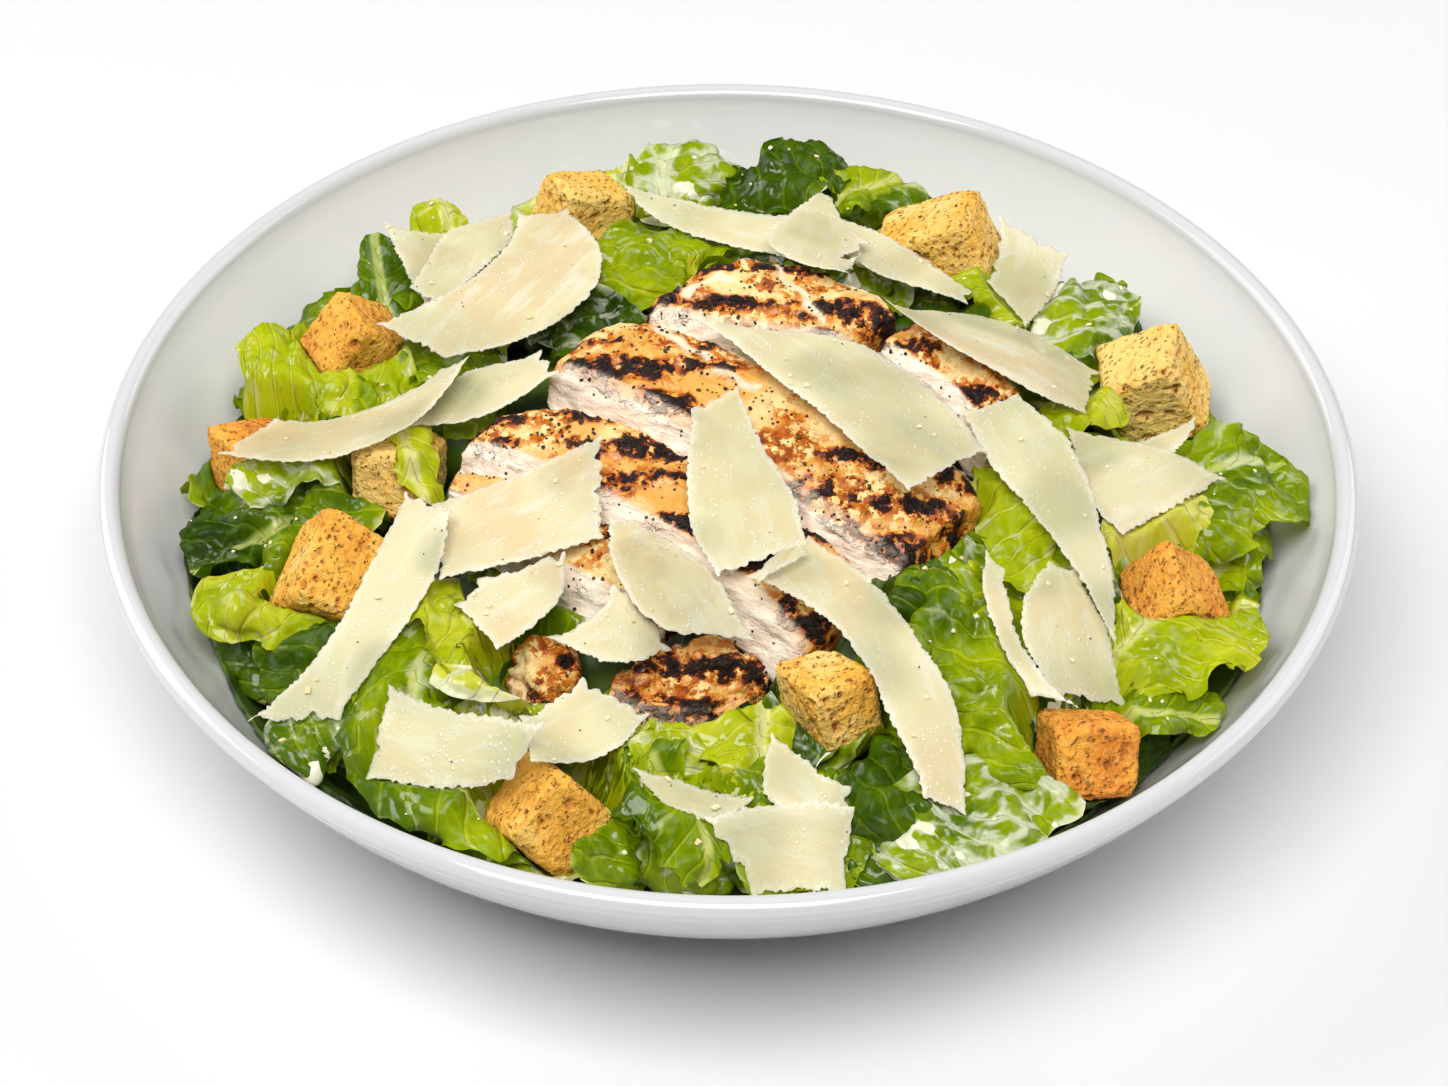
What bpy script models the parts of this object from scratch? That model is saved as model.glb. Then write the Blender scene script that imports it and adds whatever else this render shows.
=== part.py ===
# Chicken caesar salad in a wide white bowl: the bowl, its heap of lettuce, a sliced grilled
# chicken breast, croutons and cheese shavings. Metres, +Z up, the origin under the foot on the axis.
# Tables are in millimetres and degrees. +X is right, -Y is the side that the slices fan out towards.

import math

import bmesh
import bpy
import numpy as np
from mathutils import Euler, Vector
from mathutils.bvhtree import BVHTree

MM = 0.001

# ---- the bowl ----
SEGMENTS = 48
BOWL_RADIUS = 130.0
BOWL_HEIGHT = 50.0
RIM_ROLL = 2.5              # radius of the rounded rim
FOOT_IN, FOOT_OUT = 54.0, 60.0
FOOT_LIFT = 3.2             # how far the floor's underside clears the table
FLOOR_TOP = 7.0
OUTER_START, OUTER_LOW, OUTER_CURVE = 63.0, 3.5, 2.72
INNER_START, INNER_CURVE = 50.0, 3.3
FOOT_SLOPE = 2.0
OUTER_RADII = (OUTER_START, 80.0, 95.0, 106.0, 115.0, 123.0, BOWL_RADIUS)
INNER_RADII = (125.0, 120.0, 113.0, 105.0, 94.0, 80.0, 63.0, 30.0)

# ---- the lettuce heap ----
HEAP_GAP = 0.8              # clearance over the bowl's inner face
HEAP_LIP = 4.0              # least thickness of the heap over the wall
HEAP_WIDEST = 117.0         # no leaf stands further out than this
HEAP_WANDER = 3.0           # how far the heap's outline wanders in and out
HEAP_SHARES = (0.18, 0.36, 0.5, 0.62, 0.73, 0.82, 0.9, 0.96, 1.0)
HEAP_UNDER = (30.0, 63.0, 80.0, 94.0, 105.0)
HEAP_TOP = 61.0             # height at the middle, under the chicken
HEAP_DROP = 28.0            # how much lower the heap is at HEAP_REACH
HEAP_REACH = 108.0
HEAP_FALL = 2.6             # power of the fall towards the edge
POCKET = 1.0                # clearance of the pocket that a topping sinks into
POCKET_SWEEP = 70.0         # how far up the pocket runs
LUMP = 4.0                  # height of the uneven lumps
LUMP_SPACING = 24.0

# x, y, radius, extra height: leaves that stand above the heap
TALL_LEAVES = [
    (110, 0, 22, 9), (101, -42, 20, 7), (-104, -22, 22, 7), (-100, 20, 16, 7), (-74, 62, 18, 6),
    (8, 97, 22, 10), (36, 92, 16, 7), (-28, 62, 18, 6), (76, 62, 16, 7), (46, -84, 24, 6),
    (-56, -86, 22, 5), (-88, -64, 18, 6), (12, -98, 20, 4), (66, -22, 16, 5), (14, 60, 24, 5),
]

# ---- the croutons: x, y, z of the middle, three edge lengths, rotation about x, y and z ----
CROUTONS = [
    ("back_left", (-33, 79, 50), (18, 17, 15), (-6, 22, 30)),
    ("back_right", (45, 64, 53), (23, 19, 17), (-11, -29, -7)),
    ("left_upper", (-80, 35, 47), (17, 16, 16), (2, 40, 27)),
    ("right_upper", (90, 25, 46), (19, 17, 20), (1, -30, -5)),
    ("left_lower", (-80, -36, 46), (15, 21, 18), (29, 29, -6)),
    ("right_lower", (90, -37, 43), (18, 17, 15), (20, 38, 23)),
    ("front_right", (70, -77, 39), (17, 16, 16), (-31, 8, 12)),
    ("front_middle", (21, -71, 45), (14, 18, 18), (-19, -1, 31)),
    ("front_left", (-34, -94, 37), (17, 18, 17), (-27, -30, 46)),
    ("left_edge", (-98, 7, 38), (17, 16, 16), (-12, 10, 34)),
    ("left_soaked", (-68, -5, 46), (17, 18, 15), (-18, -5, -16)),
]
CROUTON_BEVEL = 1.6
CROUTON_WOBBLE = 0.9        # how far a corner strays from a true cube

# ---- the chicken: each slice's back edge and front edge along the top, left to right ----
SLICE_DEPTH = 15.0
SLICE_LEAN = 0.42           # sideways shift of a cut face for each millimetre down
SLICE_CROWN = 1.6           # how much the grilled top swells between its edges
LEAN_HEADING = 238.0
SLICE_STATIONS = (0.0, 0.05, 0.16, 0.33, 0.5, 0.67, 0.84, 0.95, 1.0)
SLICE_TAPER = (0.62, 0.86, 1.0, 1.0, 1.0, 1.0, 1.0, 0.86, 0.62)
SLICE_TOP = ((0.0, -2.4), (0.1, -0.4), (0.5, 0.0), (0.9, -0.4), (1.0, -2.4))   # share across, drop
SLICE_UNDER = ((0.97, 1.8), (0.8, 0.0), (0.2, 0.0), (0.03, 1.8))              # share across, lift
SLICES = [
    ("back", [(-17, 25, 69), (2, 37, 72), (20, 33, 71), (38, 26, 69)],
     [(-16, 23, 69), (-6, 18, 70), (9, 16, 69), (25, 15, 68)], 0.9),
    ("right", [(41, 25, 67), (51, 16, 66), (61, 7, 62), (65, -4, 58)],
     [(30, 15, 68), (36, 9, 67), (45, 3, 64), (52, -6, 60)], 0.9),
    ("long", [(-25, 23, 68), (2, 13, 67), (28, -2, 64), (55, -16, 57)],
     [(-38, 9, 66), (-18, -3, 66), (7, -20, 62), (34, -38, 54)], 1.0),
    ("middle", [(-44, 2, 62), (-24, -3, 62), (-3, -17, 60), (16, -30, 57), (32, -43, 52)],
     [(-55, -7, 59), (-34, -19, 59), (-10, -35, 57), (6, -48, 54), (15, -56, 48)], 1.0),
    ("front", [(-54, -13, 57), (-36, -22, 56), (-19, -32, 55), (-5, -42, 52)],
     [(-57, -18, 54), (-42, -32, 52), (-25, -44, 51), (-11, -49, 49)], 0.8),
    ("tip_left", [(-43, -57, 46), (-37, -52, 47), (-27, -58, 47)],
     [(-39, -64, 42), (-34, -66, 42), (-28, -62, 42)], 0.8),
    ("tip_right", [(-24, -65, 45), (-11, -54, 47), (2, -54, 47), (10, -59, 44)],
     [(-22, -66, 42), (-14, -69, 41), (-2, -68, 41), (8, -63, 41)], 0.85),
]

# ---- the cheese shavings, lowest first: x, y of the tail and of the head, how far the middle
#      bows to the left of that line, widths from tail to head, slants of the two ends, lift of the ends
SHAVING_THICK = 1.1
SHAVING_CELLS_ALONG, SHAVING_CELLS_ACROSS = 7, 2
SHAVING_GAP = 0.95          # how far a shaving's middle face clears what it lies on
SHAVINGS = [
    ("upper_left_a", (-67, 70), (-60, 37), 0, (17, 16, 14, 12, 9), (13, 0), (2, 0)),
    ("upper_left_b", (-51, 74), (-65, 37), 1, (4, 14, 15, 12, 10), (-5, 5), (0, 0)),
    ("upper_left_c", (-41, 66), (-67, 23), 14, (10, 23, 27, 24, 14), (4, -13), (0, 0)),
    ("left_b", (-61, 6), (-37, 10), -1, (14, 17, 16, 12, 10), (9, -1), (0, 0)),
    ("left_a", (-100, 2), (-57, 13), -10, (18, 18, 19, 17, 8), (2, 0), (0, 0)),
    ("top_a", (21, 61), (51, 40), -1, (8, 13, 14, 10, 6), (-8, -2), (0, 0)),
    ("top_b", (-22, 72), (23, 52), -3, (6, 10, 12, 13, 14), (-13, -9), (0, 0)),
    ("top_c", (15, 60), (26, 36), -3, (11, 18, 24, 26, 19), (-15, -12), (0, 0)),
    ("back_right_a", (66, 66), (59, 43), 1, (16, 15, 14, 13, 12), (1, 6), (3, 0)),
    ("right_a", (36, 19), (76, 15), -1, (11, 23, 26, 26, 19), (7, 4), (0, 0)),
    ("right_b", (97, 7), (79, -6), 1, (2, 6, 8, 10, 10), (2, 3), (2, 0)),
    ("right_c", (70, -3), (91, -18), -2, (7, 15, 24, 28, 27), (-11, 15), (0, 0)),
    ("right_d", (67, -40), (72, -67), -3, (6, 14, 19, 18, 13), (-2, 5), (0, 0)),
    ("right_e", (53, -42), (64, -72), -4, (4, 6, 5, 5, 5), (3, 8), (0, 0)),
    ("right_f", (53, -1), (77, -51), 2, (12, 19, 16, 10, 7), (3, -20), (0, 0)),
    ("diagonal", (6, 14), (44, -23), 3, (14, 23, 25, 25, 21), (22, -3), (0, 0)),
    ("centre_a", (-58, -37), (-25, -25), 0, (22, 22, 22, 22, 22), (5, 7), (0, 0)),
    ("centre_b", (-49, -59), (-39, -43), -2, (16, 16, 17, 18, 13), (0, -7), (0, 0)),
    ("centre_c", (-31, -58), (-14, -57), -2, (5, 10, 17, 14, 9), (7, -3), (0, 0)),
    ("centre_d", (-21, -32), (-3, -61), -2, (5, 13, 18, 19, 13), (1, 11), (0, 0)),
    ("front_a", (11, -45), (42, -97), 6, (14, 14, 13, 15, 8), (2, 2), (0, 0)),
    ("centre_e", (-3, -6), (7, -45), -1, (10, 15, 20, 24, 20), (-3, -4), (0, 0)),
    ("centre_f", (5, -51), (15, -45), -1, (3, 4, 5, 5, 4), (-2, 2), (0, 0)),
    ("long_left", (-60, -28), (-84, -73), 5, (11, 16, 15, 12, 13), (8, -13), (0, 0)),
    ("front_left_b", (-21, -75), (-38, -88), 2, (15, 17, 18, 16, 13), (-1, 1), (0, 0)),
    ("front_left_a", (-37, -93), (-67, -80), 1, (7, 11, 13, 15, 17), (4, -6), (1, 0)),
    ("front_b", (-16, -90), (5, -97), -3, (2, 6, 7, 6, 2), (3, 2), (0, 0)),
    ("front_c", (8, -87), (24, -98), -3, (4, 11, 12, 10, 8), (-5, 0), (0, 0)),
    ("front_d", (1, -107), (24, -106), 1, (13, 13, 13, 13, 11), (-7, 0), (0, 0)),
]

GLAZE = (0.90, 0.90, 0.89)
LEAF = (0.18, 0.36, 0.06)
MEAT = (0.72, 0.44, 0.20)
CRUST = (0.74, 0.45, 0.16)
CHEESE = (0.88, 0.82, 0.58)


def clear_scene():
    for obj in list(bpy.data.objects):
        bpy.data.objects.remove(obj, do_unlink=True)


def material(name, colour, roughness):
    mat = bpy.data.materials.new(name)
    mat.use_nodes = True
    shader = mat.node_tree.nodes["Principled BSDF"]
    shader.inputs["Base Color"].default_value = (*colour, 1.0)
    shader.inputs["Roughness"].default_value = roughness
    shader.inputs["Metallic"].default_value = 0.0
    return mat


def add_object(name, bm, mat):
    bmesh.ops.recalc_face_normals(bm, faces=bm.faces)
    mesh = bpy.data.meshes.new(name)
    bm.to_mesh(mesh)
    bm.free()
    mesh.materials.append(mat)
    obj = bpy.data.objects.new(name, mesh)
    bpy.context.collection.objects.link(obj)
    return obj


# ---------------------------------------------------------------- bowl

def outer_wall(radius):
    share = (radius - OUTER_START) / (BOWL_RADIUS - OUTER_START)
    return OUTER_LOW + (BOWL_HEIGHT - RIM_ROLL - OUTER_LOW) * share ** OUTER_CURVE


def inner_wall(radius):
    share = max(0.0, (radius - INNER_START) / (BOWL_RADIUS - 2 * RIM_ROLL - INNER_START))
    return FLOOR_TOP + (BOWL_HEIGHT - RIM_ROLL - FLOOR_TOP) * share ** INNER_CURVE


def bowl_profile():
    under = [(0.0, FOOT_LIFT), (FOOT_IN - FOOT_SLOPE, FOOT_LIFT), (FOOT_IN, 0.0), (FOOT_OUT, 0.0)]
    outside = [(r, outer_wall(r)) for r in OUTER_RADII]
    middle = BOWL_RADIUS - RIM_ROLL
    turns = [math.radians(a) for a in (40, 90, 140)]
    rim = [(middle + RIM_ROLL * math.cos(a), BOWL_HEIGHT - RIM_ROLL + RIM_ROLL * math.sin(a)) for a in turns]
    inside = [(r, inner_wall(r)) for r in INNER_RADII]
    return under + outside + rim + inside + [(0.0, FLOOR_TOP)]


def make_bowl(mat):
    bm = bmesh.new()
    ring = [bm.verts.new((r * MM, 0.0, z * MM)) for r, z in bowl_profile()]
    edges = [bm.edges.new(pair) for pair in zip(ring, ring[1:])]
    bmesh.ops.spin(bm, geom=ring + edges, cent=(0, 0, 0), axis=(0, 0, 1), angle=math.tau,
                   steps=SEGMENTS, use_duplicate=False)
    bmesh.ops.remove_doubles(bm, verts=bm.verts, dist=0.00001)
    obj = add_object("bowl", bm, mat)
    obj.data.shade_smooth()
    obj.data.set_sharp_from_angle(angle=math.radians(40))
    return obj


# ---------------------------------------------------------------- lettuce heap

def lattice_noise(x, y, seed):
    """Smooth random height between -1 and 1 on a square lattice of unit cells."""
    def corner(i, j):
        return np.random.default_rng(seed + 7919 * (i + 500) + 104729 * (j + 500)).uniform(-1, 1)
    i, j = math.floor(x), math.floor(y)
    u, v = x - i, y - j
    u, v = u * u * (3 - 2 * u), v * v * (3 - 2 * v)
    low = corner(i, j) * (1 - u) + corner(i + 1, j) * u
    high = corner(i, j + 1) * (1 - u) + corner(i + 1, j + 1) * u
    return low * (1 - v) + high * v


def heap_edge(angle):
    """Radius at which the heap meets the bowl's wall, larger where a tall leaf leans on it."""
    x, y = math.cos(angle), math.sin(angle)
    radius = HEAP_REACH + HEAP_WANDER * lattice_noise(3 * x, 3 * y, 5)
    for lx, ly, size, extra in TALL_LEAVES:
        away = math.hypot(lx - HEAP_REACH * x, ly - HEAP_REACH * y) / size
        radius += 0.9 * extra * math.exp(-away * away)
    return min(radius, HEAP_WIDEST)


def heap_height(x, y):
    radius = math.hypot(x, y)
    height = HEAP_TOP - HEAP_DROP * (radius / HEAP_REACH) ** HEAP_FALL
    height += LUMP * lattice_noise(x / LUMP_SPACING, y / LUMP_SPACING, 11)
    for lx, ly, size, extra in TALL_LEAVES:
        away = math.hypot(lx - x, ly - y) / size
        height += extra * math.exp(-away * away)
    return height


def make_heap(mat):
    bm = bmesh.new()
    angles = [math.tau * k / SEGMENTS for k in range(SEGMENTS)]

    def ring(point):
        return [bm.verts.new(Vector(point(a)) * MM) for a in angles]

    def top_point(share):
        def point(a):
            radius = share * heap_edge(a)
            x, y = radius * math.cos(a), radius * math.sin(a)
            return x, y, max(heap_height(x, y), inner_wall(radius) + HEAP_GAP + HEAP_LIP)
        return point

    def under_point(radius):
        slope = (inner_wall(radius + 1) - inner_wall(radius - 1)) / 2
        length = math.hypot(1, slope)
        r = radius - HEAP_GAP * slope / length
        z = inner_wall(radius) + HEAP_GAP / length
        return lambda a: (r * math.cos(a), r * math.sin(a), z)

    def edge_point(a):
        radius = heap_edge(a)
        return radius * math.cos(a), radius * math.sin(a), inner_wall(radius + 0.5) + HEAP_GAP + 0.6

    rings = [ring(under_point(r)) for r in HEAP_UNDER]
    rings.append(ring(edge_point))
    rings += [ring(top_point(s)) for s in reversed(HEAP_SHARES)]
    for low, high in zip(rings, rings[1:]):
        for k in range(SEGMENTS):
            n = (k + 1) % SEGMENTS
            bm.faces.new((low[k], low[n], high[n], high[k]))
    bottom = bm.verts.new((0, 0, (FLOOR_TOP + HEAP_GAP) * MM))
    top = bm.verts.new((0, 0, heap_height(0, 0) * MM))
    for k in range(SEGMENTS):
        n = (k + 1) % SEGMENTS
        bm.faces.new((bottom, rings[0][n], rings[0][k]))
        bm.faces.new((top, rings[-1][k], rings[-1][n]))
    bmesh.ops.triangulate(bm, faces=bm.faces)
    return add_object("lettuce", bm, mat)


def hull_of(points):
    bm = bmesh.new()
    for p in points:
        bm.verts.new(p)
    made = bmesh.ops.convex_hull(bm, input=bm.verts)
    spare = [v for v in made["geom_interior"] + made["geom_unused"] if isinstance(v, bmesh.types.BMVert)]
    bmesh.ops.delete(bm, geom=list(set(spare)), context="VERTS")
    return bm


def seat_in_heap(heap, name, points):
    """Cut a pocket for one piece: the hull of its points, grown by POCKET, swept up out of the heap."""
    middle = sum(points, Vector()) / len(points)
    grown = [p + (p - middle).normalized() * POCKET * MM for p in points]
    swept = [p + Vector((0, 0, POCKET_SWEEP * MM)) for p in grown]
    cutter = add_object("pocket_" + name, hull_of(grown + swept), heap.data.materials[0])
    cutter.hide_render = True
    cutter.display_type = "WIRE"
    cut = heap.modifiers.new("seat_" + name, "BOOLEAN")
    cut.operation = "DIFFERENCE"
    cut.solver = "EXACT"
    cut.object = cutter


# ---------------------------------------------------------------- croutons

def make_crouton(name, middle, edges, turn, mat, seed):
    rng = np.random.default_rng(seed)
    bm = bmesh.new()
    bmesh.ops.create_cube(bm, size=1.0)
    bmesh.ops.scale(bm, vec=Vector(edges) * MM, verts=bm.verts)
    for v in bm.verts:
        v.co += Vector(rng.uniform(-CROUTON_WOBBLE, CROUTON_WOBBLE, 3)) * MM
    bmesh.ops.triangulate(bm, faces=bm.faces)
    bmesh.ops.bevel(bm, geom=bm.edges[:], offset=CROUTON_BEVEL * MM, segments=1, affect="EDGES",
                    profile=0.6, clamp_overlap=True)
    bmesh.ops.remove_doubles(bm, verts=bm.verts, dist=0.0001)
    bmesh.ops.triangulate(bm, faces=bm.faces)
    obj = add_object("crouton_" + name, bm, mat)
    obj.location = Vector(middle) * MM
    obj.rotation_euler = Euler([math.radians(a) for a in turn])
    return obj


# ---------------------------------------------------------------- chicken

def along(points, share):
    """A smooth run through 3 or 4 points, share 0 to 1."""
    points = [Vector(p) for p in points]
    spans = len(points) - 1
    k = min(int(share * spans), spans - 1)
    u = share * spans - k
    a = points[k - 1] if k > 0 else 2 * points[0] - points[1]
    b, c = points[k], points[k + 1]
    d = points[k + 2] if k + 2 < len(points) else 2 * points[-1] - points[-2]
    return 0.5 * (2 * b + (c - a) * u + (2 * a - 5 * b + 4 * c - d) * u ** 2 + (3 * b - a - 3 * c + d) * u ** 3)


def make_slice(name, back_edge, front_edge, depth_share, mat):
    heading = math.radians(LEAN_HEADING)
    lean = Vector((math.cos(heading), math.sin(heading), 0)) * SLICE_LEAN
    bm = bmesh.new()
    rings = []
    for share, size in zip(SLICE_STATIONS, SLICE_TAPER):
        back, front = along(back_edge, share), along(front_edge, share)
        depth = SLICE_DEPTH * depth_share
        rounding = depth * (1 - size) / 2
        points = []
        for t, drop in SLICE_TOP:
            t = 0.5 + (t - 0.5) * size ** 0.5
            p = back.lerp(front, t)
            p.z += drop + SLICE_CROWN * size * (1 - (2 * t - 1) ** 2) - rounding
            points.append(p)
        for t, lift in SLICE_UNDER:
            t = 0.5 + (t - 0.5) * size ** 0.5
            p = back.lerp(front, t)
            p.z += lift + rounding - depth
            points.append(p)
        level = (back.z + front.z) / 2
        shifted = [p + lean * (level - p.z) for p in points]
        rings.append([bm.verts.new(p * MM) for p in shifted])
    for one, two in zip(rings, rings[1:]):
        for k in range(len(one)):
            n = (k + 1) % len(one)
            bm.faces.new((one[k], one[n], two[n], two[k]))
    bm.faces.new(rings[0])
    bm.faces.new(rings[-1][::-1])
    bmesh.ops.triangulate(bm, faces=bm.faces)
    return add_object("chicken_" + name, bm, mat)


# ---------------------------------------------------------------- cheese shavings

def support_tree(objects):
    verts, faces = [], []
    graph = bpy.context.evaluated_depsgraph_get()
    for obj in objects:
        mesh = obj.evaluated_get(graph).to_mesh()
        start = len(verts)
        verts += [obj.matrix_world @ v.co for v in mesh.vertices]
        faces += [[start + k for k in p.vertices] for p in mesh.polygons]
        obj.evaluated_get(graph).to_mesh_clear()
    return BVHTree.FromPolygons(verts, faces)


def height_under(tree, x, y):
    hit = tree.ray_cast(Vector((x * MM, y * MM, 0.2)), Vector((0, 0, -1)))
    return hit[0].z / MM if hit[0] else FLOOR_TOP


def shaving_plan(tail, head, bow, widths, slants):
    """Returns a function from (s, t), along and across, to the point in plan."""
    tail, head = Vector(tail), Vector(head)
    run = head - tail
    side = Vector((-run.y, run.x)).normalized()

    def point(s, t):
        centre = tail + run * s + side * (4 * bow * s * (1 - s))
        tangent = (run + side * (4 * bow * (1 - 2 * s))).normalized()
        normal = Vector((-tangent.y, tangent.x))
        k = min(int(s * 4), 3)
        u = s * 4 - k
        width = widths[k] * (1 - u) + widths[k + 1] * u
        slant = slants[0] * (1 - s) ** 3 + slants[1] * s ** 3
        return centre + normal * (width * t) + tangent * (slant * t)
    return point


def resting_height(plan, tree, lifts):
    """Height of a gently bent sheet that lies on what is under it, as a function of (s, t)."""
    def terms(s, t):
        return [1.0, s, s * s, s ** 3, t, t * s, t * t]

    samples = [(i / 24, j / 8 - 0.5) for i in range(25) for j in range(9)]
    rows = np.array([terms(s, t) for s, t in samples])
    places = [plan(s, t) for s, t in samples]
    heights = np.array([height_under(tree, p.x, p.y) for p in places])
    stiff = np.diag([0.0, 0.5, 1.5, 1.5, 0.5, 1.0, 8.0])
    weight = np.ones(len(samples))
    for _ in range(25):
        left = rows.T @ (rows * weight[:, None]) + stiff
        shape = np.linalg.solve(left, rows.T @ (heights * weight))
        weight = np.where(heights > rows @ shape, 12.0, 0.25)
    shape[0] += float((heights - rows @ shape).max()) + SHAVING_GAP

    def height(s, t):
        return float(np.dot(terms(s, t), shape)) + lifts[0] * (1 - s) ** 4 + lifts[1] * s ** 4
    return height


def make_shaving(name, tail, head, bow, widths, slants, lifts, below, mat):
    plan = shaving_plan(tail, head, bow, widths, slants)
    height = resting_height(plan, support_tree(below), lifts)
    bm = bmesh.new()
    under, over = [], []
    for i in range(SHAVING_CELLS_ALONG + 1):
        s = i / SHAVING_CELLS_ALONG
        low, high = [], []
        for j in range(SHAVING_CELLS_ACROSS + 1):
            t = j / SHAVING_CELLS_ACROSS - 0.5
            p = plan(s, t)
            z = height(s, t)
            low.append(bm.verts.new(Vector((p.x, p.y, z)) * MM))
            high.append(bm.verts.new(Vector((p.x, p.y, z + SHAVING_THICK)) * MM))
        under.append(low)
        over.append(high)
    for sheet, flip in ((under, True), (over, False)):
        for one, two in zip(sheet, sheet[1:]):
            for k in range(SHAVING_CELLS_ACROSS):
                face = (one[k], two[k], two[k + 1], one[k + 1])
                bm.faces.new(face[::-1] if flip else face)
    loop_under = under[0] + [row[-1] for row in under[1:]] + under[-1][-2::-1] + [r[0] for r in under[-2:0:-1]]
    loop_over = over[0] + [row[-1] for row in over[1:]] + over[-1][-2::-1] + [r[0] for r in over[-2:0:-1]]
    for k in range(len(loop_under)):
        n = (k + 1) % len(loop_under)
        bm.faces.new((loop_under[k], loop_under[n], loop_over[n], loop_over[k]))
    bmesh.ops.triangulate(bm, faces=bm.faces)
    return add_object("shaving_" + name, bm, mat)


def main():
    clear_scene()
    glaze = material("glaze", GLAZE, 0.12)
    leaf = material("leaf", LEAF, 0.4)
    meat = material("meat", MEAT, 0.45)
    crust = material("crust", CRUST, 0.75)
    cheese = material("cheese", CHEESE, 0.5)
    bowl = make_bowl(glaze)
    heap = make_heap(leaf)
    slices = [make_slice(name, back, front, share, meat) for name, back, front, share in SLICES]
    croutons = []
    for seed, (name, middle, edges, turn) in enumerate(CROUTONS):
        croutons.append(make_crouton(name, middle, edges, turn, crust, 40 + seed))
    bpy.context.view_layer.update()
    for piece in slices:
        seat_in_heap(heap, piece.name, [v.co for v in piece.data.vertices])
    for piece in croutons:
        seat_in_heap(heap, piece.name, [piece.matrix_world @ Vector(c) for c in piece.bound_box])
    bpy.context.view_layer.update()
    below = [bowl, heap] + slices + croutons
    for name, tail, head, bow, widths, slants, lifts in SHAVINGS:
        below.append(make_shaving(name, tail, head, bow, widths, slants, lifts, below, cheese))


main()
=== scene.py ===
# Looks for a chicken caesar salad in its bowl. Metres, +Z up, the front is -Y.
import itertools
import math

import bmesh
import bpy
import numpy as np
from mathutils import Euler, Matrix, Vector
from mathutils.bvhtree import BVHTree
from mathutils.geometry import delaunay_2d_cdt


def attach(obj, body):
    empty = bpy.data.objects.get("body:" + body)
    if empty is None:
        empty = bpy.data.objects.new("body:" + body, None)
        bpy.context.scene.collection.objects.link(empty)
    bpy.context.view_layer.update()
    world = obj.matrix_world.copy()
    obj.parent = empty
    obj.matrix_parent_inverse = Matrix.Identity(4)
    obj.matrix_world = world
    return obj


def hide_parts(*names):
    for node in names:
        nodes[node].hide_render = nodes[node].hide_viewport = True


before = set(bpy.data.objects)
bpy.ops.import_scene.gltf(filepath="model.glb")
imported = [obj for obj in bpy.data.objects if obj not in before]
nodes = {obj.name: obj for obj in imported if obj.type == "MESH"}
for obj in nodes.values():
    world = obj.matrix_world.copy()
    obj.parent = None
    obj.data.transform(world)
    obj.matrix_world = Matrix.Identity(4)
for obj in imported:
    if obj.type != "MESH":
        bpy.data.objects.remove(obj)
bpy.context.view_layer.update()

mm = 0.001
up = np.array((0.0, 0.0, 1.0))
aboveAll = 0.2          # a height that rays start down from
# the first random seed of each kind of piece
seeds = {"cheese": 100, "bread": 300, "meat": 500, "placedLeaf": 1000, "strewnLeaf": 2000, "grains": 900}


view = {
    "elevation": 40.63,     # degrees above the table
    "distance": 0.83,       # to the point that it looks at
    "aimHeight": 0.050,
    "aimDown": 1.38,        # degrees that the aim drops below that point
    "aimLeft": 0.06,        # and turns to the left of it
    "roll": 0.70,
    "lens": 99.77,          # in millimetres
}

lights = {
    # name: place, what it points at, width and height, watts, colour
    "topPanel": ((-0.22, -0.98, 2.33), (0, 0, 0.04), (2.0, 1.5), 73.0, (1.0, 0.992, 0.98)),
    "backLeftPanel": ((-1.65, 0.90, 1.15), (0, 0, 0.04), (1.7, 1.5), 27.0, (1.0, 0.995, 0.985)),
    "backRightPanel": ((1.65, 0.90, 1.15), (0, 0, 0.04), (1.7, 1.5), 20.0, (1.0, 0.995, 0.985)),
}
sky = {"top": 0.06, "horizon": 0.02}     # how bright it is overhead and at eye level


def placeCamera():
    data = bpy.data.cameras.new("camera")
    data.lens = view["lens"]
    data.sensor_width = 36.0
    data.clip_start = 0.01
    camera = linked("camera", data)
    tilt = math.radians(view["elevation"])
    away = Vector((0, -math.cos(tilt), math.sin(tilt))) * view["distance"]
    camera.location = Vector((0, 0, view["aimHeight"])) + away
    down = math.radians(90 - view["elevation"] - view["aimDown"])
    turned = Euler((down, 0, math.radians(view["aimLeft"])))
    rolled = Euler((0, 0, math.radians(view["roll"])))
    camera.rotation_euler = (turned.to_matrix() @ rolled.to_matrix()).to_euler()
    bpy.context.scene.camera = camera


def placeLights():
    for name, (place, target, size, watts, tint) in lights.items():
        data = bpy.data.lights.new(name, "AREA")
        data.shape = "RECTANGLE"
        data.size, data.size_y = size
        data.energy = watts
        data.color = tint
        lamp = linked(name, data)
        lamp.location = place
        lamp.rotation_euler = (Vector(target) - Vector(place)).to_track_quat("-Z", "Y").to_euler()
    world = bpy.data.worlds.new("sky")
    world.use_nodes = True
    root = Wire(world.node_tree)
    height = root.part(root.coordinates("Generated"), "Z")
    strength = sky["horizon"] + (sky["top"] - sky["horizon"]) * height.fade(0.0, 0.9)
    background = world.node_tree.nodes["Background"]
    background.inputs["Color"].default_value = (1.0, 1.0, 1.0, 1.0)
    connect(background, Strength=strength)
    bpy.context.scene.world = world


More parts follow.
